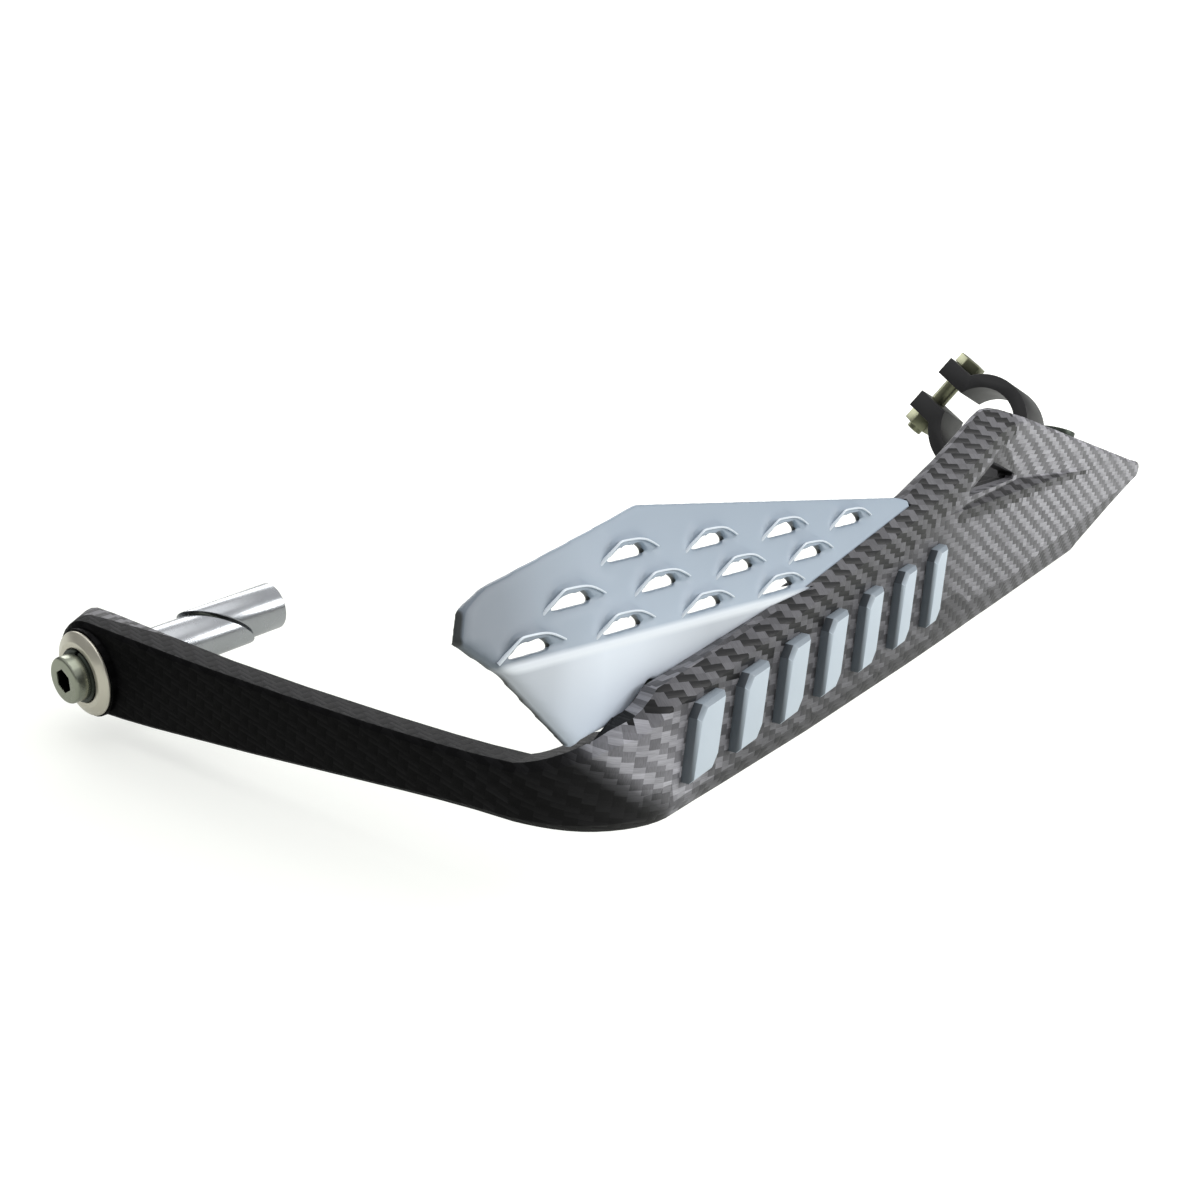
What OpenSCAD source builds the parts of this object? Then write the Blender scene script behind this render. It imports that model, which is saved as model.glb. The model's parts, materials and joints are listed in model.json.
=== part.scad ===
// Motorcycle hand guard, right-hand side, with a louvred wind deflector.
// X runs inboard along the handlebar axis from the bar end, Y points to the
// rider and Z points up. The origin is the middle of the face on which the end
// of the handlebar seats. The guard is a moulded arm and blade; an aluminium
// expander holds it in the bar end and a split clamp holds it on the bar.

/* [Arm and bend] */
// Distance from the bar axis forward to the outer corner of the bend
arm_reach = 177.2; // [150:1:210]
// Angle by which the arm leans inboard on its way forward
arm_lean = 4.1; // [0:0.1:8]
// Thickness of the arm where the bar end seats
arm_t = 10.6; // [9:0.2:13]
// Thickness of the arm just before the bend
arm_t_bend = 8; // [7:0.5:12]
// Outer radius of the bend between arm and blade
bend_r = 24; // [18:1:34]
// Height of the arm's top edge above the bar axis at the bar end
end_top = 13.5; // [13.3:0.1:18]
// Depth of the arm's bottom edge below the bar axis at the bar end
end_low = 11.8; // [11.5:0.1:18]
// Height of the arm's top edge in the middle of the arm
arm_top = 13.2; // [12:0.2:18]
// Height of the arm's bottom edge just before the bend
arm_low = 3.4; // [0:0.2:6]
// Height of the top edge in the middle of the bend
bend_top = 24.6; // [22:0.2:28]
// Width of the small edge bevels round the arm
edge_bevel = 1.1; // [0.6:0.1:1.6]

/* [Blade] */
// Length from the outer corner of the bend to the blade's tip
blade_len = 357.6; // [345:0.5:375]
// Angle by which the blade sweeps back towards the rider
blade_sweep = 11; // [8:0.5:14]
// Thickness of the blade
blade_t = 8; // [7.5:0.25:10]
// Thickness of the blade near its tip
tip_t = 5.5; // [4.5:0.25:7]
// Height of the blade's top edge after the bend
blade_top = 35.3; // [33:0.5:37]
// Height of the blade's top edge where the deflector ends
rise_top = 41.2; // [40:0.2:43]
// Height of the blade's peak
peak_top = 52.6; // [50:0.2:56]
// Distance of the peak from the outer corner of the bend
peak_at = 215; // [212:1:218]
// Depth of the blade's lowest corner below the bar axis
blade_low = 14; // [12:0.5:16]
// Distance of the lowest corner from the outer corner of the bend
low_at = 299; // [294:1:304]
// Height of the front face's straight lower edge at the inboard end
face_low = -1.7; // [-3:0.1:0]
// Radius of the tip
tip_r = 2.9; // [2:0.1:3.4]
// Height of the middle of the tip
tip_z = 1.0; // [0:0.1:2]
// Depth of the facet that sinks towards the window
crease_depth = 3.4; // [1.5:0.1:4]
// Wall left between the front face and the cored-out cells behind
front_wall = 3.4; // [3:0.1:5]

/* [Deflector] */
// Thickness of the deflector
shield_t = 2.4; // [2:0.1:3]
// Angle by which the louvred panel leans back from the lower panel
shield_lean = 20; // [16:1:26]
// Distance from one louvre to the next in a row
louvre_pitch = 31.6; // [30:0.2:33]
// Distance from one row of louvres to the next
row_pitch = 7.5; // [7.2:0.1:7.8]
// Height by which a louvre's hood stands out
hood_h = 2.6; // [2:0.1:3.2]
// Clearance round the deflector in its rebate
shield_gap = 0.2; // [0.1:0.05:0.4]

/* [Raised bars] */
// Number of raised bars on the blade
bar_count = 7; // [7:1:7]
// Height by which the bars stand out of the blade
bar_out = 3; // [1.5:0.1:4]
// Depth of the pocket in which each bar sits
bar_pocket = 0.6; // [0.3:0.1:1]
// Width of the bevel round each bar
bar_bevel = 0.9; // [0.4:0.1:1.4]

/* [Bar end] */
// Angle by which the handlebar's end rises inboard
bar_rise = 2.4; // [0:0.1:4]
// Diameter of the bar-end bolt
bolt_d = 8; // [6:1:8]
// Clearance hole for the bar-end bolt
bolt_hole_d = 8.4; // [8.2:0.1:9.5]
// Diameter of the bolt's head
head_d = 13; // [12:0.5:14]
// Height of the bolt's head
head_h = 4.2; // [4:0.2:8]
// Width across the flats of the bolt's socket
socket_af = 6; // [5:0.5:6]
// Outer diameter of the spring washer
lock_d = 14.8; // [14:0.2:16]
// Thickness of the spring washer
lock_t = 1.6; // [1.2:0.1:2.4]
// Outer diameter of the cone washer
cone_d = 23.6; // [20:0.2:24.4]
// Height of the cone washer
cone_h = 2.2; // [1.8:0.1:4]
// Depth of the spring washer's recess in the cone washer
cone_recess = 1; // [0.6:0.1:1.2]
// Outer diameter of the expander, to suit a 14 mm bore
expander_d = 13.5; // [13:0.1:13.8]
// Length of the expander from the bar-end face
expander_len = 51; // [46:0.2:60]
// Distance along the bar at which the split between its halves starts
split_at = 22; // [16:0.5:28]
// Length over which the split runs across the expander
split_run = 18; // [12:0.5:22]
// Sideways slip of the sleeve on the wedge when it is drawn tight
sleeve_slip = 1.2; // [0.2:0.1:1.2]

/* [Clamp] */
// Diameter of the handlebar at the clamp
bar_d = 28.6; // [22:0.1:30]
// Wall of the clamp ring
clamp_wall = 5.2; // [4.4:0.1:7]
// Width of the clamp ring along the bar
clamp_w = 20; // [16:0.5:24]
// Distance of the clamp's middle from the bar-end face along X
clamp_x = 352; // [346:0.5:358]
// Distance along Y from the clamp's middle out to the blade's corner
clamp_set = 131.2; // [125:0.2:135]
// Height of the clamp's middle above the bar axis
clamp_z = 3.5; // [1:0.5:6]
// Angle by which the clamp's axis drops inboard
clamp_drop = 25; // [20:1:30]
// Angle by which the clamp's axis turns to the rider
clamp_turn = 8.6; // [4:0.2:12]
// Angle of the clamp's ears above the line to the rider
ear_angle = 31; // [24:1:38]
// Thickness of each ear
ear_t = 7.2; // [6:0.2:8]
// Distance of the ears' ends from the middle of the ring
ear_r = 26.5; // [26:0.5:32]
// Width of the slit between the ears
slit_w = 9; // [6:0.5:10]
// Diameter of the pinch bolt
pinch_d = 6; // [5:0.5:6]

/* [Bracket] */
// Thickness of the bracket's pad behind the blade
pad_t = 6; // [5:0.5:8]
// Height of the bracket's arm
link_h = 13; // [11:0.5:16]
// Thickness of the bracket's arm
link_t = 8; // [6:0.5:10]
// Diameter of the pivot bolt between bracket and clamp
pivot_d = 8; // [6:1:8]
// Diameter of the two screws that hold the bracket
pad_screw_d = 6; // [5:1:6]

/* [Hidden] */
$fn = 64;
eps = 0.01;

// Small helpers
function mix(a, b, t) = a + (b - a) * t;
function unit(v) = v / norm(v);
// Smooth value between b and c, with a before them and d after them
function smooth4(a, b, c, d, t) =
    b + t * ((c - a) / 2 + t * (a - 2.5 * b + 2 * c - d / 2 + t * ((d - a) / 2 + 1.5 * (b - c))));

// Plan of the guard: a straight arm, a round bend and a straight blade
// Outer face of the arm where the bar axis crosses it, and raised seat for the cone washer
arm_out = arm_t - 0.7;
seat_out = 0.6;
arm_dir = [sin(arm_lean), -cos(arm_lean)];
blade_dir = [cos(blade_sweep), sin(blade_sweep)];
blade_in = [-sin(blade_sweep), cos(blade_sweep)];
turn = 90 - arm_lean + blade_sweep;
tangent_len = bend_r * tan(turn / 2);
corner = [-arm_out, 0] + arm_dir * (arm_reach / cos(arm_lean));
clamp_y = arm_reach - clamp_set;
arm_len = arm_reach / cos(arm_lean) - tangent_len;
bend_len = bend_r * turn * PI / 180;
bend_mid = [-arm_out, 0] + arm_dir * arm_len + bend_r * [cos(arm_lean), sin(arm_lean)];
// Distance along the plan of a place on the blade
function along(b) = arm_len + bend_len + b - tangent_len;
// Direction from the outer face to the inner face at a distance along the plan
function in_angle(s) =
    s <= arm_len ? arm_lean :
    s <= arm_len + bend_len ? arm_lean + (s - arm_len) / bend_r * 180 / PI :
    90 + blade_sweep;
// Point on the outer face at a distance along the plan
function outer(s) =
    s <= arm_len ? [-arm_out, 0] + arm_dir * s :
    s <= arm_len + bend_len ? bend_mid - bend_r * [cos(in_angle(s)), sin(in_angle(s))] :
    corner + blade_dir * (s - along(0));
// Point of the blade from its distance, its depth behind the front face and its height
function on_blade(b, depth, z) =
    let (p = corner + blade_dir * b + blade_in * depth) [p[0], p[1], z];

// Cross-sections: place, bottom, height and depth of the lower bevel, top,
// height and depth of the upper bevel, thickness
e = edge_bevel;
tip_at = blade_len - tip_r;
sections = [
    [0, -end_low, e, e, end_top, e, e, arm_t],
    [50, mix(-end_low, arm_low, 0.29), e, e, arm_top, e, e, mix(arm_t, arm_t_bend, 0.6)],
    [105, mix(-end_low, arm_low, 0.71), e, e, arm_top + 1.2, e, e, mix(arm_t, arm_t_bend, 0.8)],
    [arm_len, arm_low, e + 0.4, e, arm_top + 4.2, e + 0.6, e + 0.3, arm_t_bend],
    [arm_len + bend_len / 2, arm_low - 0.2, 2.2, e + 0.3, bend_top, 2.8, 2.4, blade_t],
    [arm_len + bend_len, arm_low - 2, 3, e + 0.4, blade_top - 0.6, 4, 4, blade_t],
    [along(66), arm_low - 5, 3.5, e + 0.5, blade_top, 4.5, 4.5, blade_t],
    [along(97), arm_low - 7.3, 3.8, e + 0.6, blade_top + 0.2, 4.5, 4.5, blade_t],
    [along(160), mix(-3.9, -blade_low, 0.35), 4.3, e + 0.8, rise_top, 5, 4.8, blade_t],
    [along(184), mix(-3.9, -blade_low, 0.46), 4.7, e + 0.9, mix(rise_top, peak_top, 0.37), 6.2, 6, blade_t],
    [along(peak_at - 5), mix(-3.9, -blade_low, 0.56), 5.3, e + 1, peak_top - 0.8, 6.5, 6.2, blade_t],
    [along(peak_at), mix(-3.9, -blade_low, 0.59), 5.5, e + 1.1, peak_top, 6.3, 6, blade_t],
    [along(peak_at + 7), mix(-3.9, -blade_low, 0.62), 6, e + 1.1, peak_top - 1, 4.5, 4, blade_t],
    [along(peak_at + 21), mix(-3.9, -blade_low, 0.69), 7.5, e + 1.3,
        top_line(peak_at + 21), 1.4, 1.2, blade_t],
    [along(272), mix(-3.9, -blade_low, 0.87), face_low + mix(3.9, blade_low, 0.87), e + 1.9,
        top_line(272), 1.2, 1, blade_t],
    [along(low_at), -blade_low, face_low + blade_low, e + 2.3, top_line(low_at), 1.2, 1, blade_t],
    [along(low_at + 6), low_line(low_at + 6), face_low - low_line(low_at + 6), e + 2.2,
        top_line(low_at + 6), 1.2, 1, mix(blade_t, tip_t, 0.15)],
    [along(tip_at - 6), low_line(tip_at - 6), 1.2, e, top_line(tip_at - 6), 1.2, 1, tip_t]];
// Straight upper and lower edges of the pointed end
function top_line(b) = mix(peak_top - 1, tip_z + tip_r, (b - peak_at - 7) / (tip_at - peak_at - 7));
function low_line(b) = mix(-blade_low, tip_z - tip_r, (b - low_at) / (tip_at - low_at));
smooth_rows = 7;
steps = [4, 4, 4, 6, 6, 3, 2, 3, 2, 2, 1, 2, 2, 3, 2, 1, 3];
rows = len(sections);
function blend_row(i, t) = [for (c = [0:7])
    (i < smooth_rows && c > 0) ?
        smooth4(sections[max(i - 1, 0)][c], sections[i][c], sections[i + 1][c],
            sections[min(i + 2, rows - 1)][c], t) :
        mix(sections[i][c], sections[i + 1][c], t)];
// Rounded nose of the arm behind the bar axis
nose_r = (end_top + end_low) / 2;
nose_z = (end_top - end_low) / 2;
nose_s = 0.3;
nose_skew = 30;
nose = [for (a = [78, 64, 50, 36, 22, 8])
    [nose_s - nose_r * sin(a), nose_z - nose_r * cos(a), e, e,
        nose_z + nose_r * cos(a), e, e, arm_t / cos(nose_skew)]];
// Rounded tip of the blade
tip = [for (a = [15, 35, 55, 72])
    [along(tip_at + tip_r * sin(a)), tip_z - tip_r * cos(a), 0.4, 0.4,
        tip_z + tip_r * cos(a), 0.4, 0.4, tip_t]];
stations = concat(nose,
    [for (i = [0:rows - 2]) for (j = [0:steps[i] - 1]) blend_row(i, j / steps[i])],
    [sections[rows - 1]], tip);
rear_bevel = 0.7;
// Eight corners of one cross-section, from the lower front edge over the front to the rear
function ring_at(r) =
    let (o = outer(r[0]), q = in_angle(r[0]) + (r[0] < 0 ? nose_skew : 0),
        d = [cos(q), sin(q)], k = rear_bevel)
    [for (p = [[r[2 + 1], r[1]], [0, r[1] + r[2]], [0, r[4] - r[5]], [r[6], r[4]],
        [r[7] - k, r[4]], [r[7], r[4] - k], [r[7], r[1] + k], [r[7] - k, r[1]]])
        [o[0] + d[0] * p[0], o[1] + d[1] * p[0], p[1]]];

// Closed solid through a list of rings with the same number of corners
module loft(rings) {
    n = len(rings[0]);
    m = len(rings);
    sides = [for (i = [0:m - 2]) for (j = [0:n - 1]) for (h = [0, 1])
        let (a = i * n + j, b = i * n + (j + 1) % n)
        h == 0 ? [a, b, b + n] : [a, b + n, a + n]];
    ends = [[for (j = [n - 1:-1:0]) j], [for (j = [0:n - 1]) (m - 1) * n + j]];
    polyhedron([for (r = rings) for (p = r) p], concat(sides, ends), convexity = 8);
}

// Solid between two outlines with the same number of corners
module slab(front, back) {
    loft([front, back]);
}

// Round tool across the blade, from one depth to another
module blade_drill(b, z, d, from, to) {
    translate(on_blade(b, from, z)) rotate([0, 0, blade_sweep]) rotate([-90, 0, 0])
        cylinder(h = to - from, d = d);
}

// Window through the blade, as distance and height of its corners
window = [[190, 33], [212.5, 38.4], [243, 26]];
window_r = 1;
// Facet that sinks from the peak and the lower face towards the window
crease = [[179, 31], [294, 16.4], [222, 46]];
crease_foot = on_blade(244, crease_depth, 25.4);

module crease_cut() {
    base = [for (p = crease) on_blade(p[0], 0, p[1])];
    wide = [for (p = base) crease_foot + (p - crease_foot) * 1.25];
    polyhedron(concat(wide, [crease_foot]), [[0, 2, 1], [0, 1, 3], [1, 2, 3], [2, 0, 3]]);
}

module window_cut() {
    translate([corner[0], corner[1], 0]) rotate([0, 0, blade_sweep]) rotate([90, 0, 0])
        translate([0, 0, -blade_t - 2]) linear_extrude(blade_t + 4)
            offset(r = window_r, $fn = 16) offset(delta = -window_r) polygon(window);
}

// Cored-out cells in the back of the blade, divided by ribs
cells = [
    [[46, 3], [46, 16], [70, 16], [76, 2]],
    [[80, 1], [74, 16], [106, 16], [106, -1]],
    [[110, -1.5], [110, 20], [140, 23], [146, -3]],
    [[150, -3.2], [144, 23], [172, 26], [178, -4]],
    [[182, -4.2], [177, 24], [206, 20], [220, -5]],
    [[304, 2], [304, 15], [322, 9], [330, 2]]];

module cell_cut(c) {
    translate([corner[0], corner[1], 0]) rotate([0, 0, blade_sweep]) rotate([90, 0, 0])
        translate([0, 0, -blade_t - 2]) linear_extrude(blade_t + 2 - front_wall) polygon(c);
}

// Raised bars: place of each bar's foot, width at the foot, foot and top heights
bar_first = 37;
bar_last = 166;
bar_lean = 3.2;
function bar_b(i) = mix(bar_first, bar_last, i / (bar_count - 1));
function bar_w(i) = mix(12.4, 8.4, i / (bar_count - 1));
function bar_low(i) = mix(9, 3.4, i / (bar_count - 1));
function bar_top(i) = mix(26.2, 24.4, i / (bar_count - 1));
// Outline of a bar with two clipped corners, drawn in by a margin
function bar_outline(i, m, depth) =
    let (b = bar_b(i), w = bar_w(i) / 2 - m, lo = bar_low(i) + m, hi = bar_top(i) - m, k = 2.6, s = bar_lean)
    [for (p = [[b - w, lo], [b + w - k, lo], [b + w, lo + k],
        [b + w + s, hi], [b - w + s + k, hi], [b - w + s, hi - k]])
        on_blade(p[0], depth, p[1])];

module raised_bar(i) {
    color("slategray") loft([bar_outline(i, bar_bevel, -bar_out), bar_outline(i, 0, bar_bevel - bar_out),
        bar_outline(i, 0, bar_pocket)]);
}

// Screws that hold the deflector, along and below its ridge
screw_places = [[-10, -5], [-38, -8.5], [-64, -13]];
screw_d = 4;
screw_head_d = 8;
screw_head_h = 2.4;
screw_len = 4.6;

// Deflector: a lower panel and a louvred panel meet along a ridge that starts
// on the blade and runs outboard and up
ridge_foot = on_blade(96.8, 3, 32.8);
ridge_end = on_blade(-8.4, 12.1, 47.9);
ridge = unit(ridge_foot - ridge_end);
low_face = unit(cross(ridge, [0, 0, 1]));
low_up = cross(low_face, ridge);
up_face = cos(shield_lean) * low_face + sin(shield_lean) * low_up;
up_up = cross(up_face, ridge);
// Points on the two panels: along the ridge, up from it, and out of the panel
function on_low(m, k, w = 0) = ridge_foot + ridge * m + low_up * k + low_face * w;
function on_up(m, h, w = 0) = ridge_foot + ridge * m + up_up * h + up_face * w;

// Outline corners of the front surface
left_m = -112;
heel = [-88, -20];
top_left = [[-123.5, 7.5], [-121.5, 12.5], [-116, 16]];
top_mid = [-60.8, 28.3];
right_end = [[54, 18.6], [59.6, 17.4], [60.2, 14.6]];

// Flange that rolls back along the outboard edge: reach, drop and angle of each row
flange = [[1.3, 0.3, 28], [2.3, 1.3, 58], [2.7, 3.6, 86]];
// Corners of the flange's root: point, outward direction, face normal, share
function flange_root() =
    let (a = on_low(heel[0], heel[1]), k = on_low(left_m, 0), mid = unit(low_face + up_face))
    let (o1 = unit(unit(k - a) * -0.02 + ridge * -0.64 + low_up * -0.77))
    [[a, o1, low_face, 1],
     [k, unit(ridge * -0.85 + low_up * -0.5), mid, 1],
     [on_up(top_left[0][0], top_left[0][1]), -ridge, up_face, 1],
     [on_up(top_left[1][0], top_left[1][1]), unit(-ridge + 0.9 * up_up), up_face, 0.9],
     [on_up(top_left[2][0], top_left[2][1]), unit(-0.4 * ridge + up_up), up_face, 0.55],
     [on_up(top_mid[0], top_mid[1]), up_up, up_face, 0.12]];
fr = flange_root();
flange_n = len(fr);

// Vertices of the front surface, each with the direction in which it is thickened
function sheet_points() = concat(
    [[ridge_foot, (low_face + up_face) / (1 + low_face * up_face)]],
    [for (p = right_end) [on_up(p[0], p[1]), up_face]],
    [for (p = [[2.5, 0.3], [2.5, -9], [-30, -12.5], [-64, -17.5]]) [on_low(p[0], p[1]), low_face]],
    [for (i = [0:flange_n - 1])
        [fr[i][0], i == 1 ? (low_face + up_face) / (1 + low_face * up_face) : fr[i][2]]],
    [for (f = flange) for (i = [0:flange_n - 1])
        [fr[i][0] + fr[i][3] * (fr[i][1] * f[0] - fr[i][2] * f[1]),
         unit(cos(f[2] * fr[i][3]) * fr[i][2] + sin(f[2] * fr[i][3]) * fr[i][1])]]);
// Faces of the front surface, turned so that they look forward
root_at = 8;
front_faces = concat(
    [[0, root_at + 1, root_at + 2, root_at + 3, root_at + 4, root_at + 5, 1, 2, 3]],
    [[0, 4, 5, 6, 7, root_at, root_at + 1]],
    [for (r = [0:len(flange) - 1]) for (i = [0:flange_n - 2]) for (h = [0, 1])
        let (a = root_at + r * flange_n + i, b = a + flange_n)
        h == 0 ? [a, b, b + 1] : [a, b + 1, a + 1]]);
function edges_of(faces) = [for (f = faces) for (i = [0:len(f) - 1]) [f[i], f[(i + 1) % len(f)]]];
function rim_edges(faces) =
    let (all = edges_of(faces))
    [for (g = all) if (len(search([[g[1], g[0]]], all, 1)[0] == [] ? [] : [1]) == 0) g];

// Thin solid made of the front surface moved forward by grow and back by its thickness
module sheet(grow, thick) {
    pts = sheet_points();
    n = len(pts);
    front = [for (p = pts) p[0] + p[1] * grow];
    back = [for (p = pts) p[0] - p[1] * thick];
    rim = rim_edges(front_faces);
    polyhedron(concat(front, back), concat(
        front_faces,
        [for (f = front_faces) [for (i = [len(f) - 1:-1:0]) f[i] + n]],
        [for (g = rim) for (h = [0, 1]) h == 0 ? [g[1], g[0], g[0] + n] : [g[1], g[0] + n, g[1] + n]]),
        convexity = 12);
}

// Louvres: rows of hoods, each over a slanted opening with a ramp below it
row_first = [[-105.5, 3.7], [-89.5, 11.3], [-67.6, 18.8]];
louvre_n = 4;
louvres = [for (r = [0:2]) for (c = [0:louvre_n - 1])
    [row_first[r][0] + c * louvre_pitch, row_first[0][1] + r * row_pitch - c * 0.5 * r]];

module hood(m, h) {
    pts = [[-11.6, -1.4, -0.4], [-6.8, 4.1, -0.4], [1.2, 4.8, -0.4], [12, -0.6, -0.4],
        [-11.4, -1.4, 0.1], [-6.6, 3.8, 0.1], [1.2, 4.5, 0.1], [11.8, -0.6, 0.1],
        [-6.6, 1.6, hood_h], [2, 1.8, hood_h]];
    faces = [[3, 2, 1, 0], [1, 5, 4, 0], [2, 6, 5, 1], [3, 7, 6, 2], [5, 8, 4], [6, 9, 8, 5], [7, 9, 6],
        [4, 7, 3, 0], [8, 9, 7, 4]];
    polyhedron([for (p = pts) on_up(m + p[0], h + p[1], p[2])], faces, convexity = 4);
}

module hood_cavity(m, h) {
    top = hood_h - 0.8;
    pts = [[-8.8, -1.2, -5], [-5.5, 2.7, -5], [1, 3.4, -5], [8, -0.9, -5],
        [-7.4, -1.7, top], [-5.6, 2.1, top - 0.5], [1.2, 2.4, top - 0.5], [5.4, -1.5, top]];
    faces = [[3, 2, 1, 0], [1, 5, 4, 0], [2, 6, 5, 1], [3, 7, 6, 2], [0, 4, 7, 3], [5, 6, 7, 4]];
    polyhedron([for (p = pts) on_up(m + p[0], h + p[1], p[2])], faces, convexity = 4);
}

module ramp(m, h) {
    pts = [[-9, -0.9, -1.4], [10, -0.5, -1.4], [-9, -0.9, 0.5], [10, -0.5, 0.5],
        [-10.6, -3, 0.5], [11, -2.4, 0.5],
        [-10.2, -2.6, 0], [10.6, -2, 0]];
    faces = [[0, 6, 7, 1], [6, 4, 5, 7], [2, 3, 5, 4], [0, 1, 3, 2], [0, 2, 4, 6], [1, 7, 5, 3]];
    polyhedron([for (p = pts) on_up(m + p[0], h + p[1], p[2])], faces, convexity = 4);
}

// Round tool square to the deflector's lower panel
module low_drill(m, k, d, from, to) {
    translate(on_low(m, k, -to)) rotate([0, 0, atan2(ridge[1], ridge[0])]) rotate([90, 0, 0])
        cylinder(h = to - from, d = d);
}

// Outline of the rebate that opens to the rear behind the deflector's lower panel
rebate = [[-96, 4], [-96, -23], [-64, -18], [-30, -13], [3.2, -9.4], [3.2, 1.4]];

module guard_beam() {
    color("#2b2b2d") difference() {
        union() {
            loft([for (r = stations) ring_at(r)]);
            at_bar() translate([seat_x, 0, 0]) rotate([0, 90, 0]) cylinder(h = 4, d = cone_d + 1);
        }
        // Hole for the bar-end bolt and flat seat for the handlebar
        at_bar() translate([-arm_t - 4, 0, 0]) rotate([0, 90, 0]) cylinder(h = arm_t + 8, d = bolt_hole_d);
        at_bar() rotate([0, 90, 0]) cylinder(h = 6, d = cone_d + 2);
        at_bar() translate([seat_x - 6, 0, 0]) rotate([0, 90, 0]) cylinder(h = 6, d = cone_d + 1);
        crease_cut();
        window_cut();
        for (c = cells) cell_cut(c);
        for (i = [0:bar_count - 1]) slab(bar_outline(i, -0.1, -1), bar_outline(i, -0.1, bar_pocket + 0.1));
        // Rebate for the deflector, open to the rear behind its lower panel
        sheet(shield_gap, shield_t + shield_gap);
        slab([for (p = rebate) on_low(p[0], p[1], shield_gap)], [for (p = rebate) on_low(p[0], p[1], -14)]);
        for (p = screw_places) low_drill(p[0], p[1], screw_d, -2.6, 0.5);
        for (p = pad_screws) blade_drill(p[0], p[1], insert_d, blade_t - insert_len - 0.4, blade_t + 1);
    }
}

module wind_deflector() {
    color("#a3b1bd") difference() {
        union() {
            sheet(0, shield_t);
            for (p = louvres) hood(p[0], p[1]);
        }
        for (p = louvres) hood_cavity(p[0], p[1]);
        for (p = louvres) ramp(p[0], p[1]);
        for (p = screw_places) low_drill(p[0], p[1], screw_d + 0.3, -1, shield_t + 1);
    }
}

module deflector_screw(i) {
    p = screw_places[i];
    color("dimgray") difference() {
        union() {
            low_drill(p[0], p[1], screw_d, -2.2, shield_t + eps);
            low_drill(p[0], p[1], screw_head_d, shield_t, shield_t + screw_head_h);
        }
        translate(on_low(p[0], p[1], -shield_t - screw_head_h - 1)) rotate([0, 0, atan2(ridge[1], ridge[0])])
            rotate([90, 0, 0]) cylinder(h = 2.4, d = 3.4, $fn = 6);
    }
}

// Frame of the bar end: its X is the handlebar's axis
module at_bar() {
    rotate([0, -bar_rise, 0]) children();
}

// Faces of the bar-end stack, from the arm's seat outward
seat_x = -arm_out - seat_out;
cone_x = seat_x - cone_h;
lock_x = cone_x + cone_recess - lock_t;
head_x = lock_x - head_h;

module bar_end_bolt() {
    color("#8b8d86") at_bar() difference() {
        union() {
            // Head with a rounded rim
            translate([head_x, 0, 0]) rotate([0, 90, 0]) rotate_extrude() polygon(concat([[0, 0]],
                [for (a = [90:-15:0]) [head_d / 2 - 1 + cos(a), 1 - sin(a)]],
                [[head_d / 2, head_h], [0, head_h]]));
            translate([lock_x - eps, 0, 0]) rotate([0, 90, 0])
                cylinder(h = expander_len - 3 - lock_x, d = bolt_d);
        }
        translate([head_x - 1, 0, 0]) rotate([0, 90, 0]) cylinder(h = 4.2, d = socket_af / cos(30), $fn = 6);
    }
}

module spring_washer() {
    color("#4a4c4a") at_bar() difference() {
        translate([lock_x, 0, 0]) rotate([0, 90, 0]) cylinder(h = lock_t, d = lock_d);
        translate([lock_x - 1, 0, 0]) rotate([0, 90, 0]) cylinder(h = lock_t + 2, d = bolt_d + 0.3);
        // Slanted split of the spring
        translate([lock_x - 1, -0.6, 4]) rotate([25, 0, 0]) cube([lock_t + 2, 1.2, 6]);
    }
}

module cone_washer() {
    rim = 0.8;
    recess_r = lock_d / 2 + 0.25;
    top_r = mix(recess_r, cone_d / 2, 0.3735);
    color("#c9c8bc") at_bar() translate([seat_x, 0, 0]) rotate([0, -90, 0]) rotate_extrude() polygon([
        [bolt_hole_d / 2, 0], [cone_d / 2 - 0.3, 0], [cone_d / 2, 0.3], [cone_d / 2, rim], [top_r, cone_h],
        [recess_r, cone_h], [recess_r, cone_h - cone_recess], [bolt_hole_d / 2, cone_h - cone_recess]]);
}

// Tool that keeps the expander on the outboard side of its slanted split
module split_side(gap) {
    r = expander_d;
    rotate([-split_turn, 0, 0]) rotate([90, 0, 0]) translate([0, 0, -r]) linear_extrude(2 * r)
        polygon([[-1, -r], [split_at + split_run * (0.5 + r / expander_d) - gap, -r],
            [split_at + split_run * (0.5 - r / expander_d) - gap, r], [-1, r]]);
}

split_turn = 42;
slip_dir = [0, -sin(split_turn), -cos(split_turn)];

module expander_sleeve() {
    color("#d9dadc") at_bar() translate(slip_dir * sleeve_slip) intersection() {
        rotate([0, 90, 0]) difference() {
            cylinder(h = expander_len, d = expander_d);
            translate([0, 0, -1]) cylinder(h = expander_len + 2, d = bolt_d + 2 * sleeve_slip + 0.1);
        }
        split_side(0.1);
    }
}

module expander_wedge() {
    color("#dcdddf") at_bar() difference() {
        translate([0.2, 0, 0]) rotate([0, 90, 0]) cylinder(h = expander_len - 0.2, d = expander_d);
        translate([-1, 0, 0]) rotate([0, 90, 0]) cylinder(h = expander_len + 2, d = bolt_d + 0.1);
        split_side(-0.1);
    }
}

// Frame of the clamp: its X is the handlebar's axis, its Y points to the rider
module at_clamp() {
    translate([clamp_x, -clamp_y, clamp_z]) rotate([0, clamp_drop, clamp_turn]) children();
}

ring_r = bar_d / 2 + clamp_wall;
lug_r = ring_r + 9;
lug_t = 7;
lug_top = -1;
lug_x = -3;
eye_r = 6.5;
pinch_r = ring_r + 3.4;
ear_face = slit_w / 2 + ear_t;

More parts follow.
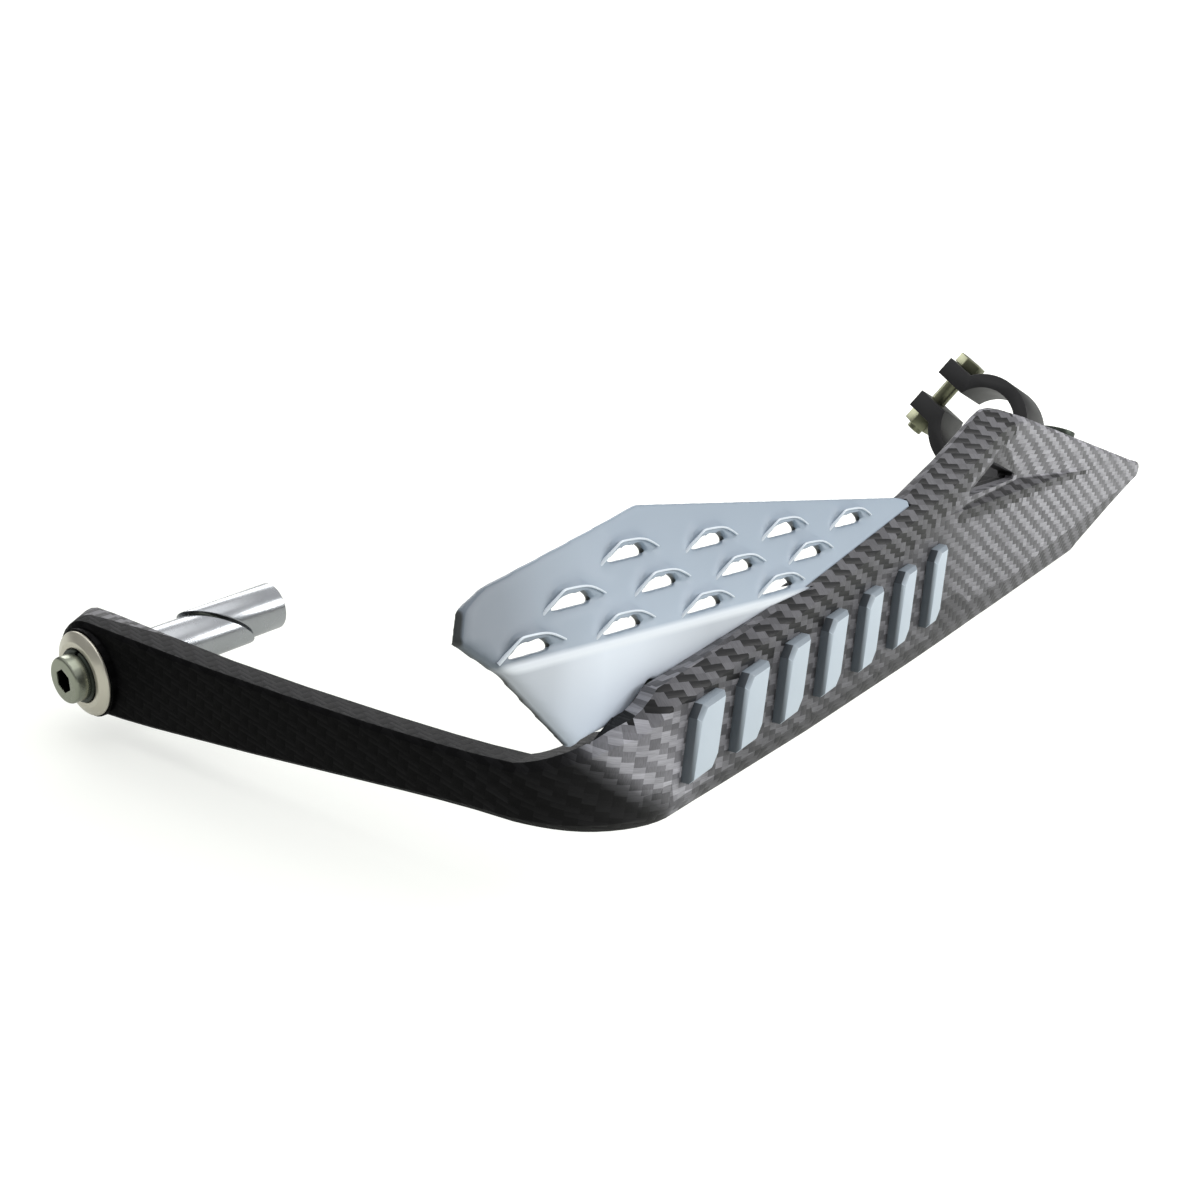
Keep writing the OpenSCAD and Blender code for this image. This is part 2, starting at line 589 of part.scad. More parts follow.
// Outline of the ring and its ears, seen along the handlebar
module ring_outline() {
    difference() {
        union() {
            circle(ring_r);
            rotate(ear_angle) translate([0, -ear_face]) square([ear_r, 2 * ear_face]);
        }
        circle(bar_d / 2);
        rotate(ear_angle) translate([0, -slit_w / 2]) square([ear_r + 1, slit_w]);
    }
}

module clamp_ring() {
    lug_in = bar_d / 2 + 1.5;
    color("#262628") at_clamp() difference() {
        union() {
            translate([-clamp_w / 2, 0, 0]) rotate([90, 0, 90]) linear_extrude(clamp_w) ring_outline();
            // Lug for the pivot bolt
            translate([lug_x - eye_r + 0.6, -lug_r, lug_top - lug_t])
                cube([2 * eye_r - 1.2, lug_r - lug_in, lug_t]);
            translate([lug_x, -lug_r, lug_top - lug_t]) cylinder(h = lug_t, r = eye_r);
        }
        rotate([ear_angle, 0, 0]) translate([0, pinch_r, -ear_face - 1])
            cylinder(h = 2 * ear_face + 2, d = pinch_d + 0.3);
        translate([lug_x, -lug_r, lug_top - lug_t - 1]) cylinder(h = lug_t + 2, d = pivot_d + 0.2);
    }
}

module pinch_bolt() {
    color("#c2b04a") at_clamp() rotate([ear_angle, 0, 0]) translate([0, pinch_r, 0]) {
        translate([0, 0, ear_face]) cylinder(h = 4, d = 10 / cos(30), $fn = 6);
        translate([0, 0, -ear_face - 7]) cylinder(h = 2 * ear_face + 7 + eps, d = pinch_d);
    }
}

module pinch_nut() {
    color("#b9bcb0") at_clamp() rotate([ear_angle, 0, 0])
        translate([0, pinch_r, -ear_face - 5]) difference() {
        cylinder(h = 5, d = 10 / cos(30), $fn = 6);
        translate([0, 0, -1]) cylinder(h = 7, d = pinch_d + 0.1);
    }
}

// Bracket pad outline behind the blade, and the places of its screws
pad = [[228, -3], [228, 20], [234, 27], [246, 27], [296, 12], [296, -4]];
pad_screws = [[240, 11], [276, 6]];
insert_d = 8;
insert_len = 5;
washer_t = 1.6;
washer_d = 12;
pad_back = blade_t + pad_t;

// Place of a point given in the clamp's frame
function from_clamp(p) =
    let (q = [p[0] * cos(clamp_drop) + p[2] * sin(clamp_drop), p[1],
        p[2] * cos(clamp_drop) - p[0] * sin(clamp_drop)])
    [clamp_x, -clamp_y, clamp_z] + [q[0] * cos(clamp_turn) - q[1] * sin(clamp_turn),
        q[0] * sin(clamp_turn) + q[1] * cos(clamp_turn), q[2]];
// End faces of the bracket's arm, on the pad and at the pivot
function link_foot() =
    [for (p = [[blade_t, -4], [blade_t, link_h - 4], [pad_back, link_h - 4], [pad_back, -4]])
    on_blade(288, p[0], p[1])];
function link_head() =
    [for (p = [[1.7, -5.6, 3 - link_t], [1.7, -5.6, -0.7], [-1.7, 5.6, -0.7], [-1.7, 5.6, 3 - link_t]])
        from_clamp([lug_x + p[0], p[1] - lug_r, p[2] + lug_top - lug_t])];

module clamp_bracket() {
    color("#232325") difference() {
        union() {
            translate([corner[0], corner[1], 0]) rotate([0, 0, blade_sweep]) rotate([90, 0, 0])
                translate([0, 0, -pad_back]) linear_extrude(pad_t) polygon(pad);
            slab(link_foot(), link_head());
            at_clamp() translate([lug_x, -lug_r, lug_top - lug_t - link_t]) cylinder(h = link_t, r = eye_r);
        }
        for (p = pad_screws) blade_drill(p[0], p[1], pad_screw_d + 0.5, blade_t - 1, pad_back + 1);
        at_clamp() translate([lug_x, -lug_r, lug_top - lug_t - link_t - 1])
            cylinder(h = link_t + 2, d = pivot_d + 0.2);
    }
}

// Ends of the pivot bolt: its head bears on a washer on the lug, its nut on the bracket
washer_high = 1.6;

module pivot_bolt() {
    color("#8b8d86") at_clamp() translate([lug_x, -lug_r, lug_top]) difference() {
        union() {
            translate([0, 0, -lug_t - link_t - 8])
                cylinder(h = lug_t + link_t + 8 + washer_high + eps, d = pivot_d);
            translate([0, 0, washer_high]) cylinder(h = 3.4, d = 13);
        }
        translate([0, 0, washer_high + 1.4]) cylinder(h = 4, d = 5 / cos(30), $fn = 6);
    }
}

module pivot_washer() {
    color("silver") at_clamp() translate([lug_x, -lug_r, lug_top]) difference() {
        cylinder(h = washer_high, d = 15);
        translate([0, 0, -1]) cylinder(h = washer_high + 2, d = pivot_d + 0.3);
    }
}

module pivot_nut() {
    color("silver") at_clamp() translate([lug_x, -lug_r, lug_top - lug_t - link_t - 6.5]) difference() {
        cylinder(h = 6.5, d = 13 / cos(30), $fn = 6);
        translate([0, 0, -1]) cylinder(h = 9, d = pivot_d + 0.1);
    }
}

module bracket_screw(i) {
    p = pad_screws[i];
    color("#77797a") difference() {
        union() {
            blade_drill(p[0], p[1], pad_screw_d, blade_t - insert_len, pad_back + washer_t + eps);
            blade_drill(p[0], p[1], 10.5, pad_back + washer_t, pad_back + washer_t + 3.3);
        }
        translate(on_blade(p[0], pad_back + washer_t + 1.4, p[1]))
            rotate([0, 0, blade_sweep]) rotate([-90, 0, 0]) cylinder(h = 3, d = 4 / cos(30), $fn = 6);
    }
}

module bracket_washer(i) {
    p = pad_screws[i];
    color("silver") difference() {
        blade_drill(p[0], p[1], washer_d, pad_back, pad_back + washer_t);
        blade_drill(p[0], p[1], pad_screw_d + 0.4, pad_back - 1, pad_back + washer_t + 1);
    }
}

module thread_insert(i) {
    p = pad_screws[i];
    color("#b08d3c") difference() {
        blade_drill(p[0], p[1], insert_d, blade_t - insert_len, blade_t);
        blade_drill(p[0], p[1], pad_screw_d, blade_t - insert_len - 1, blade_t + 1);
    }
}

guard_beam();
wind_deflector();
raised_bar(0);  // raised_bar_1
raised_bar(1);  // raised_bar_2
raised_bar(2);  // raised_bar_3
raised_bar(3);  // raised_bar_4
raised_bar(4);  // raised_bar_5
raised_bar(5);  // raised_bar_6
raised_bar(6);  // raised_bar_7
deflector_screw(0);  // deflector_screw_1
deflector_screw(1);  // deflector_screw_2
deflector_screw(2);  // deflector_screw_3
bar_end_bolt();
spring_washer();
cone_washer();
expander_sleeve();
expander_wedge();
clamp_ring();
pinch_bolt();
pinch_nut();
clamp_bracket();
pivot_bolt();
pivot_washer();
pivot_nut();
bracket_screw(0);  // bracket_screw_1
bracket_screw(1);  // bracket_screw_2
bracket_washer(0);  // bracket_washer_1
bracket_washer(1);  // bracket_washer_2
thread_insert(0);  // thread_insert_1
thread_insert(1);  // thread_insert_2
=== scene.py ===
"""Looks of the motorcycle hand guard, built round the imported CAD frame.

The CAD nodes stay where they are. Each of them is replaced by a finer copy that
carries its finish, the louvres get rolled lips, and a studio adds the floor, the
lights and the camera.
"""

import json
import logging
import math
from dataclasses import dataclass, field
from enum import Enum

import bpy
from mathutils import Matrix, Vector

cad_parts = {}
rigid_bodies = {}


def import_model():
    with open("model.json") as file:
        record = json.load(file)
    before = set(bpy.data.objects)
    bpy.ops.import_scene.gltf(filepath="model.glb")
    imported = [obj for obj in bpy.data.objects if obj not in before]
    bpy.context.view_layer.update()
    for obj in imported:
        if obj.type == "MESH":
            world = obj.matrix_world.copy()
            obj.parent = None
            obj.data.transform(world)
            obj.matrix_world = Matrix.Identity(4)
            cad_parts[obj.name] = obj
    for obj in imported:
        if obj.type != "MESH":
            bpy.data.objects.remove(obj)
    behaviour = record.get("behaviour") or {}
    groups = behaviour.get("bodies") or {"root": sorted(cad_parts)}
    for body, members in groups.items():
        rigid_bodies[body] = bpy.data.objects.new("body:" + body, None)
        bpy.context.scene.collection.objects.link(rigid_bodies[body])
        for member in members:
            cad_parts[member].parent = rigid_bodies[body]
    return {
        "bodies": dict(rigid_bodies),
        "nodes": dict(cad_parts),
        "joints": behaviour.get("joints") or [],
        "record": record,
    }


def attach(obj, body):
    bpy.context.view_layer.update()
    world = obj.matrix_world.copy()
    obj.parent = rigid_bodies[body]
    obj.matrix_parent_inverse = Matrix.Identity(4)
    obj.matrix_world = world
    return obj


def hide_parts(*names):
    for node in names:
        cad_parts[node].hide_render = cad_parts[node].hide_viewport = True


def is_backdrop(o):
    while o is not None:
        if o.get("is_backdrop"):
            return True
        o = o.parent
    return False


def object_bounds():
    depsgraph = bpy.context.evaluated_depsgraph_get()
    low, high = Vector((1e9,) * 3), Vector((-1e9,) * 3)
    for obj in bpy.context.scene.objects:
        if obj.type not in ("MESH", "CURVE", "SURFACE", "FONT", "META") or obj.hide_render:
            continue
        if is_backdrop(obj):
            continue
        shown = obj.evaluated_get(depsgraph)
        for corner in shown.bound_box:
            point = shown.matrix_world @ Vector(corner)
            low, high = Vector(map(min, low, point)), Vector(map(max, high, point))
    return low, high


log = logging.getLogger("hand_guard")
logging.basicConfig(level=logging.INFO, format="%(message)s")

Vec = tuple[float, float, float]
Points = tuple[tuple[float, float], ...]
Socket = bpy.types.NodeSocket

MM = 0.001
UP = Vector((0.0, 0.0, 1.0))
# The handlebar's axis rises inboard by this angle
BAR_RISE = math.radians(2.4)
# Ramps along a length end at this many millimetres, and their heights are out of this whole
RAMP_END = 560.0
WHOLE = 100.0
MOTTLE_SCALE = 120.0
GRAIN_DEPTH = 0.0004
SIDE_FADE = 0.16
CAMERA_RAY = "Is Camera Ray"


class Mixed(Enum):
    """What a mix node mixes: its data type, its first input and its output."""

    NUMBER = ("FLOAT", 2, 0)
    VECTOR = ("VECTOR", 4, 1)
    COLOUR = ("RGBA", 6, 2)


class Tow(Enum):
    """The tow that lies on top, by the field of a Stop that holds its tone."""

    ALONG = "light"
    ACROSS = "dark"


@dataclass(frozen=True)
class Finish:
    """A surface look.

    Attributes:
        name: Name of its material.
        colour: Linear base colour.
        roughness: Roughness of the shader.
        metallic: How metallic it is, from 0 to 1.
        specular: Specular level of what isn't metallic.
        coat: Weight of the clear coat.
        bump: Strength of the fine grain.
        bump_scale: Scale of the grain's noise.
        brushed: Stretch of the grain along each axis.
        mottle: How much colour and roughness vary.
        left: Share of the colour that is left on sides that face left, as painted shade.
        left_from: How far left a side must face for that.
        top: Share that is left on sides that face up, as painted shade.
        top_from: How far up a side must face for that.
        hollow: Outer end and radius of a socket round the bar's axis that gets painted shade, in
            millimetres.
    """

    name: str
    colour: Vec
    roughness: float
    metallic: float = 0.0
    specular: float = 0.5
    coat: float = 0.0
    bump: float = 0.0
    bump_scale: float = 900.0
    brushed: Vec = (1.0, 1.0, 1.0)
    mottle: float = 0.0
    left: float = 1.0
    left_from: float = 0.45
    top: float = 1.0
    top_from: float = 0.5
    hollow: tuple[float, float] = (0.0, 0.0)


def srgb(red: int, green: int, blue: int) -> Vec:
    """Turns an sRGB colour into the linear one that shaders use.

    Args:
        red: Red from 0 to 255.
        green: Green from 0 to 255.
        blue: Blue from 0 to 255.

    Returns:
        The linear colour.
    """
    made = []
    for part in (red, green, blue):
        share = part / 255
        made.append(share / 12.92 if share <= 0.04045 else ((share + 0.055) / 1.055) ** 2.4)
    return (made[0], made[1], made[2])


DEFLECTOR_GREY = Finish(
    "deflector_grey", srgb(186, 200, 213), 0.42, specular=0.38, coat=0.05,
    bump=0.02, bump_scale=60, mottle=0.04)
# The bars get painted shade on their left sides and tops
BAR_GREY = Finish(
    "bar_grey", srgb(198, 210, 220), 0.4, specular=0.4, coat=0.1,
    bump=0.02, bump_scale=80, mottle=0.05, left=0.22, top=0.5, top_from=0.3)
ANODISED = Finish(
    "black_anodised", srgb(26, 26, 27), 0.42, bump=0.05, mottle=0.2)
# The bolt's socket gets painted shade
ZINC = Finish(
    "zinc_steel", srgb(170, 175, 158), 0.28, metallic=0.9,
    bump=0.08, bump_scale=420, mottle=0.35, hollow=(-17.1, 3.62))
DARK_STEEL = Finish(
    "dark_steel", srgb(62, 68, 62), 0.4, metallic=0.8, bump=0.04, bump_scale=500, mottle=0.15)
YELLOW_ZINC = Finish(
    "yellow_zinc", srgb(142, 144, 118), 0.32, metallic=0.9, bump=0.05, bump_scale=400, mottle=0.3)
CREAM_METAL = Finish(
    "cream_aluminium", srgb(224, 220, 204), 0.3, metallic=0.65,
    bump=0.03, bump_scale=300, brushed=(14.0, 1.0, 1.0), mottle=0.1)
TURNED = Finish(
    "bare_aluminium", srgb(182, 185, 188), 0.27, metallic=0.95,
    bump=0.05, bump_scale=260, brushed=(9.0, 1.0, 1.0), mottle=0.2)
BRASS = Finish("insert_brass", srgb(190, 160, 96), 0.3, metallic=1.0, mottle=0.1)
# The lips are paler than the deflector: a painted highlight along their edges
LIP_HIGHLIGHT = Finish("lip_highlight_grey", srgb(226, 235, 243), 0.3, coat=0.3, mottle=0.03)
# Painted shade inside the bolt's socket
SOCKET_SHADE = srgb(26, 26, 22)
WHITE = srgb(255, 255, 255)


class Nodes:
    """Short way to wire one shader's node tree.

    Attributes:
        owner: The material or world that has the tree.
        tree: The node tree.
        shader: The surface shader, where the tree has one.
    """

    def __init__(self, owner: bpy.types.ID) -> None:
        """Starts on a material or a world.

        Args:
            owner: The material or world, which gets nodes if it has none.
        """
        owner.use_nodes = True
        self.owner = owner
        self.tree = owner.node_tree
        self.shader = self.tree.nodes.get("Principled BSDF")

    def feed(self, into: Socket, value: object) -> None:
        """Gives an input its value.

        Args:
            into: The input.
            value: A socket to link, or a number, a vector or a colour without its alpha.
        """
        if isinstance(value, Socket):
            self.tree.links.new(value, into)
        elif into.type == "RGBA":
            into.default_value = (*value, 1.0)
        else:
            into.default_value = value

    def add(self, kind: str, **values: object) -> bpy.types.Node:
        """Adds a node and sets its properties and inputs.

        Args:
            kind: Blender's type name of the node.
            **values: Properties by their lower-case names, and inputs by their capitalised
                ones, with underscores for spaces.

        Returns:
            The new node.
        """
        node = self.tree.nodes.new(kind)
        for key, value in values.items():
            if key.islower():
                setattr(node, key, value)
            else:
                self.feed(node.inputs[key.replace("_", " ")], value)
        return node

    def dress(self, **values: object) -> None:
        """Feeds the surface shader's inputs, which are named as in add."""
        for key, value in values.items():
            self.feed(self.shader.inputs[key.replace("_", " ")], value)

    def math(self, operation: str, a: object, b: object = 0.0, c: object = 0.0) -> Socket:
        """Adds a maths node.

        Args:
            operation: Its operation.
            a: First argument, a number or a socket.
            b: Second argument.
            c: Third argument.

        Returns:
            The result.
        """
        node = self.add("ShaderNodeMath", operation=operation)
        for into, value in zip(node.inputs, (a, b, c)):
            self.feed(into, value)
        return node.outputs[0]

    def vector(self, operation: str, a: Socket, b: object = (0.0, 0.0, 0.0)) -> bpy.types.Node:
        """Adds a vector maths node.

        Args:
            operation: Its operation.
            a: First vector.
            b: Second vector, fixed or a socket.

        Returns:
            The node, whose outputs are "Vector" and "Value".
        """
        node = self.add("ShaderNodeVectorMath", operation=operation)
        self.feed(node.inputs[0], a)
        self.feed(node.inputs[1], b)
        return node

    def blend(self, kind: Mixed, factor: object, a: object, b: object, how: str = "MIX") -> Socket:
        """Adds a mix node.

        Args:
            kind: What it mixes.
            factor: Share of b, a number or a socket.
            a: What is left at a factor of 0.
            b: What is mixed in.
            how: Way of mixing colours.

        Returns:
            The result.
        """
        data_type, first, result = kind.value
        node = self.add("ShaderNodeMix", data_type=data_type, blend_type=how)
        for index, value in ((0, factor), (first, a), (first + 1, b)):
            self.feed(node.inputs[index], value)
        return node.outputs[result]

    def mix(self, factor: object, a: object, b: object) -> Socket:
        """Mixes colour b into colour a."""
        return self.blend(Mixed.COLOUR, factor, a, b)

    def times(self, colour: object, share: object, factor: object = 1.0) -> Socket:
        """Multiplies a colour by a share, as far as the factor says."""
        return self.blend(Mixed.COLOUR, factor, colour, share, "MULTIPLY")

    def pick(self, chooser: Socket, yes: object, no: object) -> Socket:
        """Gives the number yes where the chooser is 1, and no where it is 0."""
        return self.blend(Mixed.NUMBER, chooser, no, yes)

    def product(self, a: Socket, b: Socket) -> Socket:
        """Multiplies two values, which for choosers gives 1 where both are 1."""
        return self.math("MULTIPLY", a, b)

    def between(self, value: Socket, low: float, high: float) -> Socket:
        """Gives 1 where a value lies between two numbers."""
        above, below = self.math("GREATER_THAN", value, low), self.math("LESS_THAN", value, high)
        return self.product(above, below)

    def weigh(self, a: Socket, by_a: float, b: Socket, by_b: float) -> Socket:
        """Adds two values, each times its own weight."""
        return self.math("ADD", self.math("MULTIPLY", a, by_a), self.math("MULTIPLY", b, by_b))

    def split(self, vector: Socket) -> tuple[Socket, ...]:
        """Splits a vector into x, y and z."""
        return tuple(self.add("ShaderNodeSeparateXYZ", Vector=vector).outputs)

    def place(self) -> Socket:
        """Gives Object coordinates, which here are the row frame's metres."""
        return self.add("ShaderNodeTexCoord").outputs["Object"]

    def facing(self) -> tuple[Socket, ...]:
        """Gives the way that the surface faces, along x, y and z."""
        return self.split(self.add("ShaderNodeTexCoord").outputs["Normal"])

    def span(self, value: Socket, start: float, end: float, first: float = 0.0,
             last: float = 1.0) -> Socket:
        """Maps a value's way from start to end, and holds it outside.

        Args:
            value: The value.
            start: Where its way starts.
            end: Where it ends.
            first: Result at the start.
            last: Result at the end.

        Returns:
            The result.
        """
        return self.add("ShaderNodeMapRange", Value=value, From_Min=start, From_Max=end,
                        To_Min=first, To_Max=last).outputs[0]

    def ramp(self, value: Socket, marks: Points, tint: Vec = (1.0, 1.0, 1.0)) -> Socket:
        """Adds a ramp with straight lines between its marks.

        Args:
            value: Place on the ramp, from 0 to 1.
            marks: Places on the ramp and the tones there.
            tint: Colour that the tones are multiplied by.

        Returns:
            The colour.
        """
        node = self.add("ShaderNodeValToRGB")
        self.feed(node.inputs[0], value)
        made = node.color_ramp.elements
        for i, (place, tone) in enumerate(marks):
            mark = made[i] if i < 2 else made.new(place)
            mark.position = place
            mark.color = (*(tone * part for part in tint), 1.0)
        return node.outputs[0]

    def along(self, length: Socket, tones: Points) -> Socket:
        """Gives tones along a length in millimetres, up to RAMP_END."""
        marks = tuple((place / RAMP_END, tone) for place, tone in tones)
        return self.ramp(self.math("DIVIDE", length, RAMP_END), marks)

    def curve(self, length: Socket, points: Points) -> Socket:
        """Gives heights from 0 to WHOLE along a length in millimetres."""
        tones = tuple((place, height / WHOLE) for place, height in points)
        return self.math("MULTIPLY", self.along(length, tones), WHOLE)


def shade_by_side(n: Nodes, finish: Finish, colour: object) -> Socket:
    """Paints shade on the sides that face left and up, by darkening their colour.

    Args:
        n: Node tree of the finish.
        finish: The look, with its shares for the left and the top.
        colour: The colour so far.

    Returns:
        The shaded colour.
    """
    facing = n.facing()
    left = n.math("MULTIPLY", facing[0], -1.0)
    for share, toward, start in ((finish.left, left, finish.left_from),
                                 (finish.top, facing[2], finish.top_from)):
        cool = (share, share * 1.02, share * 1.04)
        colour = n.times(colour, cool, n.span(toward, start, start + SIDE_FADE))
    return colour


def darken_hollow(n: Nodes, finish: Finish, colour: object) -> Socket:
    """Paints shade inside a socket round the bar's axis.

    Args:
        n: Node tree of the finish.
        finish: The look, with the socket's place.
        colour: The colour so far.

    Returns:
        The colour with the socket's painted shade.
    """
    end, radius = finish.hollow
    x, y, z = n.split(n.place())
    height = n.math("SUBTRACT", z, n.math("MULTIPLY", x, math.tan(BAR_RISE)))
    around = n.math("SQRT", n.math("MULTIPLY_ADD", y, y, n.math("MULTIPLY", height, height)))
    inside = n.product(n.math("LESS_THAN", around, radius * MM),
                       n.math("GREATER_THAN", x, end * MM))
    return n.mix(inside, colour, SOCKET_SHADE)


def plain_material(finish: Finish) -> bpy.types.Material:
    """Makes a one-colour finish with slight mottling and grain.

    Args:
        finish: The look to make.

    Returns:
        The material.
    """
    n = Nodes(bpy.data.materials.new(finish.name))
    place = n.place()
    colour, roughness = finish.colour, finish.roughness
    if finish.mottle:
        noise = n.add("ShaderNodeTexNoise", Vector=place, Scale=MOTTLE_SCALE, Detail=3.0)
        cloud = noise.outputs["Fac"]
        darker = tuple(part * (1 - finish.mottle) for part in finish.colour)
        colour = n.mix(cloud, darker, finish.colour)
        low, high = roughness * (1 - finish.mottle), roughness * (1 + finish.mottle)
        roughness = n.math("MULTIPLY_ADD", cloud, high - low, low)
    if finish.left < 1 or finish.top < 1:
        colour = shade_by_side(n, finish, colour)
    if finish.hollow[1]:
        colour = darken_hollow(n, finish, colour)
    n.dress(Base_Color=colour, Metallic=finish.metallic, Roughness=roughness,
            Specular_IOR_Level=finish.specular, Coat_Weight=finish.coat)
    if finish.bump:
        stretched = n.add("ShaderNodeMapping", Vector=place, Scale=finish.brushed).outputs[0]
        grain = n.add("ShaderNodeTexNoise", Vector=stretched, Scale=finish.bump_scale, Detail=4.0)
        bump = n.add("ShaderNodeBump", Strength=finish.bump, Distance=GRAIN_DEPTH,
                     Height=grain.outputs["Fac"])
        n.dress(Normal=bump.outputs[0])
    return n.owner


@dataclass(frozen=True)
class Path:
    """The beam's plan path: arm, bend and blade, in millimetres.

    Attributes:
        middle: Middle of the bend.
        arm: Direction along the arm, away from the bar end.
        blade: Direction along the blade, inboard.
        arm_length: Length of the straight arm.
        radius: Radius of the bend's outer side.
        turn: Angle of the bend in radians.
    """

    middle: tuple[float, float] = (24.8, -148.46)
    arm: tuple[float, float] = (0.0715, -0.9974)
    blade: tuple[float, float] = (0.98163, 0.19081)
    arm_length: float = 150.57
    radius: float = 24.0
    turn: float = 1.6912

    def run(self, x: float, y: float) -> tuple[float, float]:
        """Finds a point's place along the path.

        Args:
            x: Place along x.
            y: Place along y.

        Returns:
            Distance from the bar end along the path, and depth, which rises inwards from minus
            the radius on the outer side.
        """
        x, y = x - self.middle[0], y - self.middle[1]
        on = x * self.blade[0] + y * self.blade[1]
        deep = y * self.blade[0] - x * self.blade[1]
        if on > 0:
            return self.arm_length + self.radius * self.turn + on, deep
        down, out = x * self.arm[0] + y * self.arm[1], x * self.arm[1] - y * self.arm[0]
        angle = min(max(math.atan2(down, out), 0.0), self.turn)
        return self.arm_length + self.radius * angle + min(down, 0.0), -math.hypot(x, y)

    def sockets(self, n: Nodes) -> tuple[Socket, Socket, Socket]:
        """Finds the same in a material.

        Args:
            n: Node tree that is being built.

        Returns:
            Distance along the path, depth and height, in millimetres.
        """
        place = n.split(n.place())
        x, y = (n.math("MULTIPLY_ADD", place[i], 1 / MM, -self.middle[i]) for i in range(2))
        down = n.weigh(x, self.arm[0], y, self.arm[1])
        out = n.weigh(x, self.arm[1], y, -self.arm[0])
        on = n.weigh(x, self.blade[0], y, self.blade[1])
        deep = n.weigh(x, -self.blade[1], y, self.blade[0])
        inboard = n.math("GREATER_THAN", on, 0.0)
        angle = n.math("MAXIMUM", n.math("ARCTAN2", down, out), 0.0)
        angle = n.pick(inboard, self.turn, n.math("MINIMUM", angle, self.turn))
        bent = n.math("MULTIPLY_ADD", angle, self.radius, self.arm_length)
        run = n.math("ADD", bent, n.pick(inboard, on, n.math("MINIMUM", down, 0.0)))
        deep = n.pick(inboard, deep, n.math("MULTIPLY", out, -1.0))
        return run, deep, n.math("MULTIPLY", place[2], 1 / MM)


@dataclass(frozen=True)
class Stop:
    """One stop of the tones along the beam's path, which hold painted highlight and shade as well
    as the cloth's own tone.

    Attributes:
        place: Distance from the bar end along the path, in millimetres.
        light: Tone of the tows that lie along the path, from 0 to 1.
        dark: Tone of the tows that lie across it.
    """

    place: float
    light: float
    dark: float


@dataclass(frozen=True)
class Cloth:
    """What the weave's nodes know of a point on the beam.

    Attributes:
        run: Distance along the path, in millimetres.
        deep: Depth, which rises inwards from minus the bend's radius on the outer side.
        height: Height above the bar end.
        up: How far the surface faces up.
        level: 1 where it faces nearly straight up or down.
        phase: Place in the twill's repeat of four cells.
        over: 1 where the tow along the path lies on top.
        middle: Height of the cell's middle.
        streak: Fibre streaks of the tow on top.
        vary: Brightness of that tow and its streaks.
        arch: Rounded height of that tow.
    """

    run: Socket
    deep: Socket
    height: Socket
    up: Socket
    level: Socket
    phase: Socket
    over: Socket
    middle: Socket
    streak: Socket
    vary: Socket
    arch: Socket


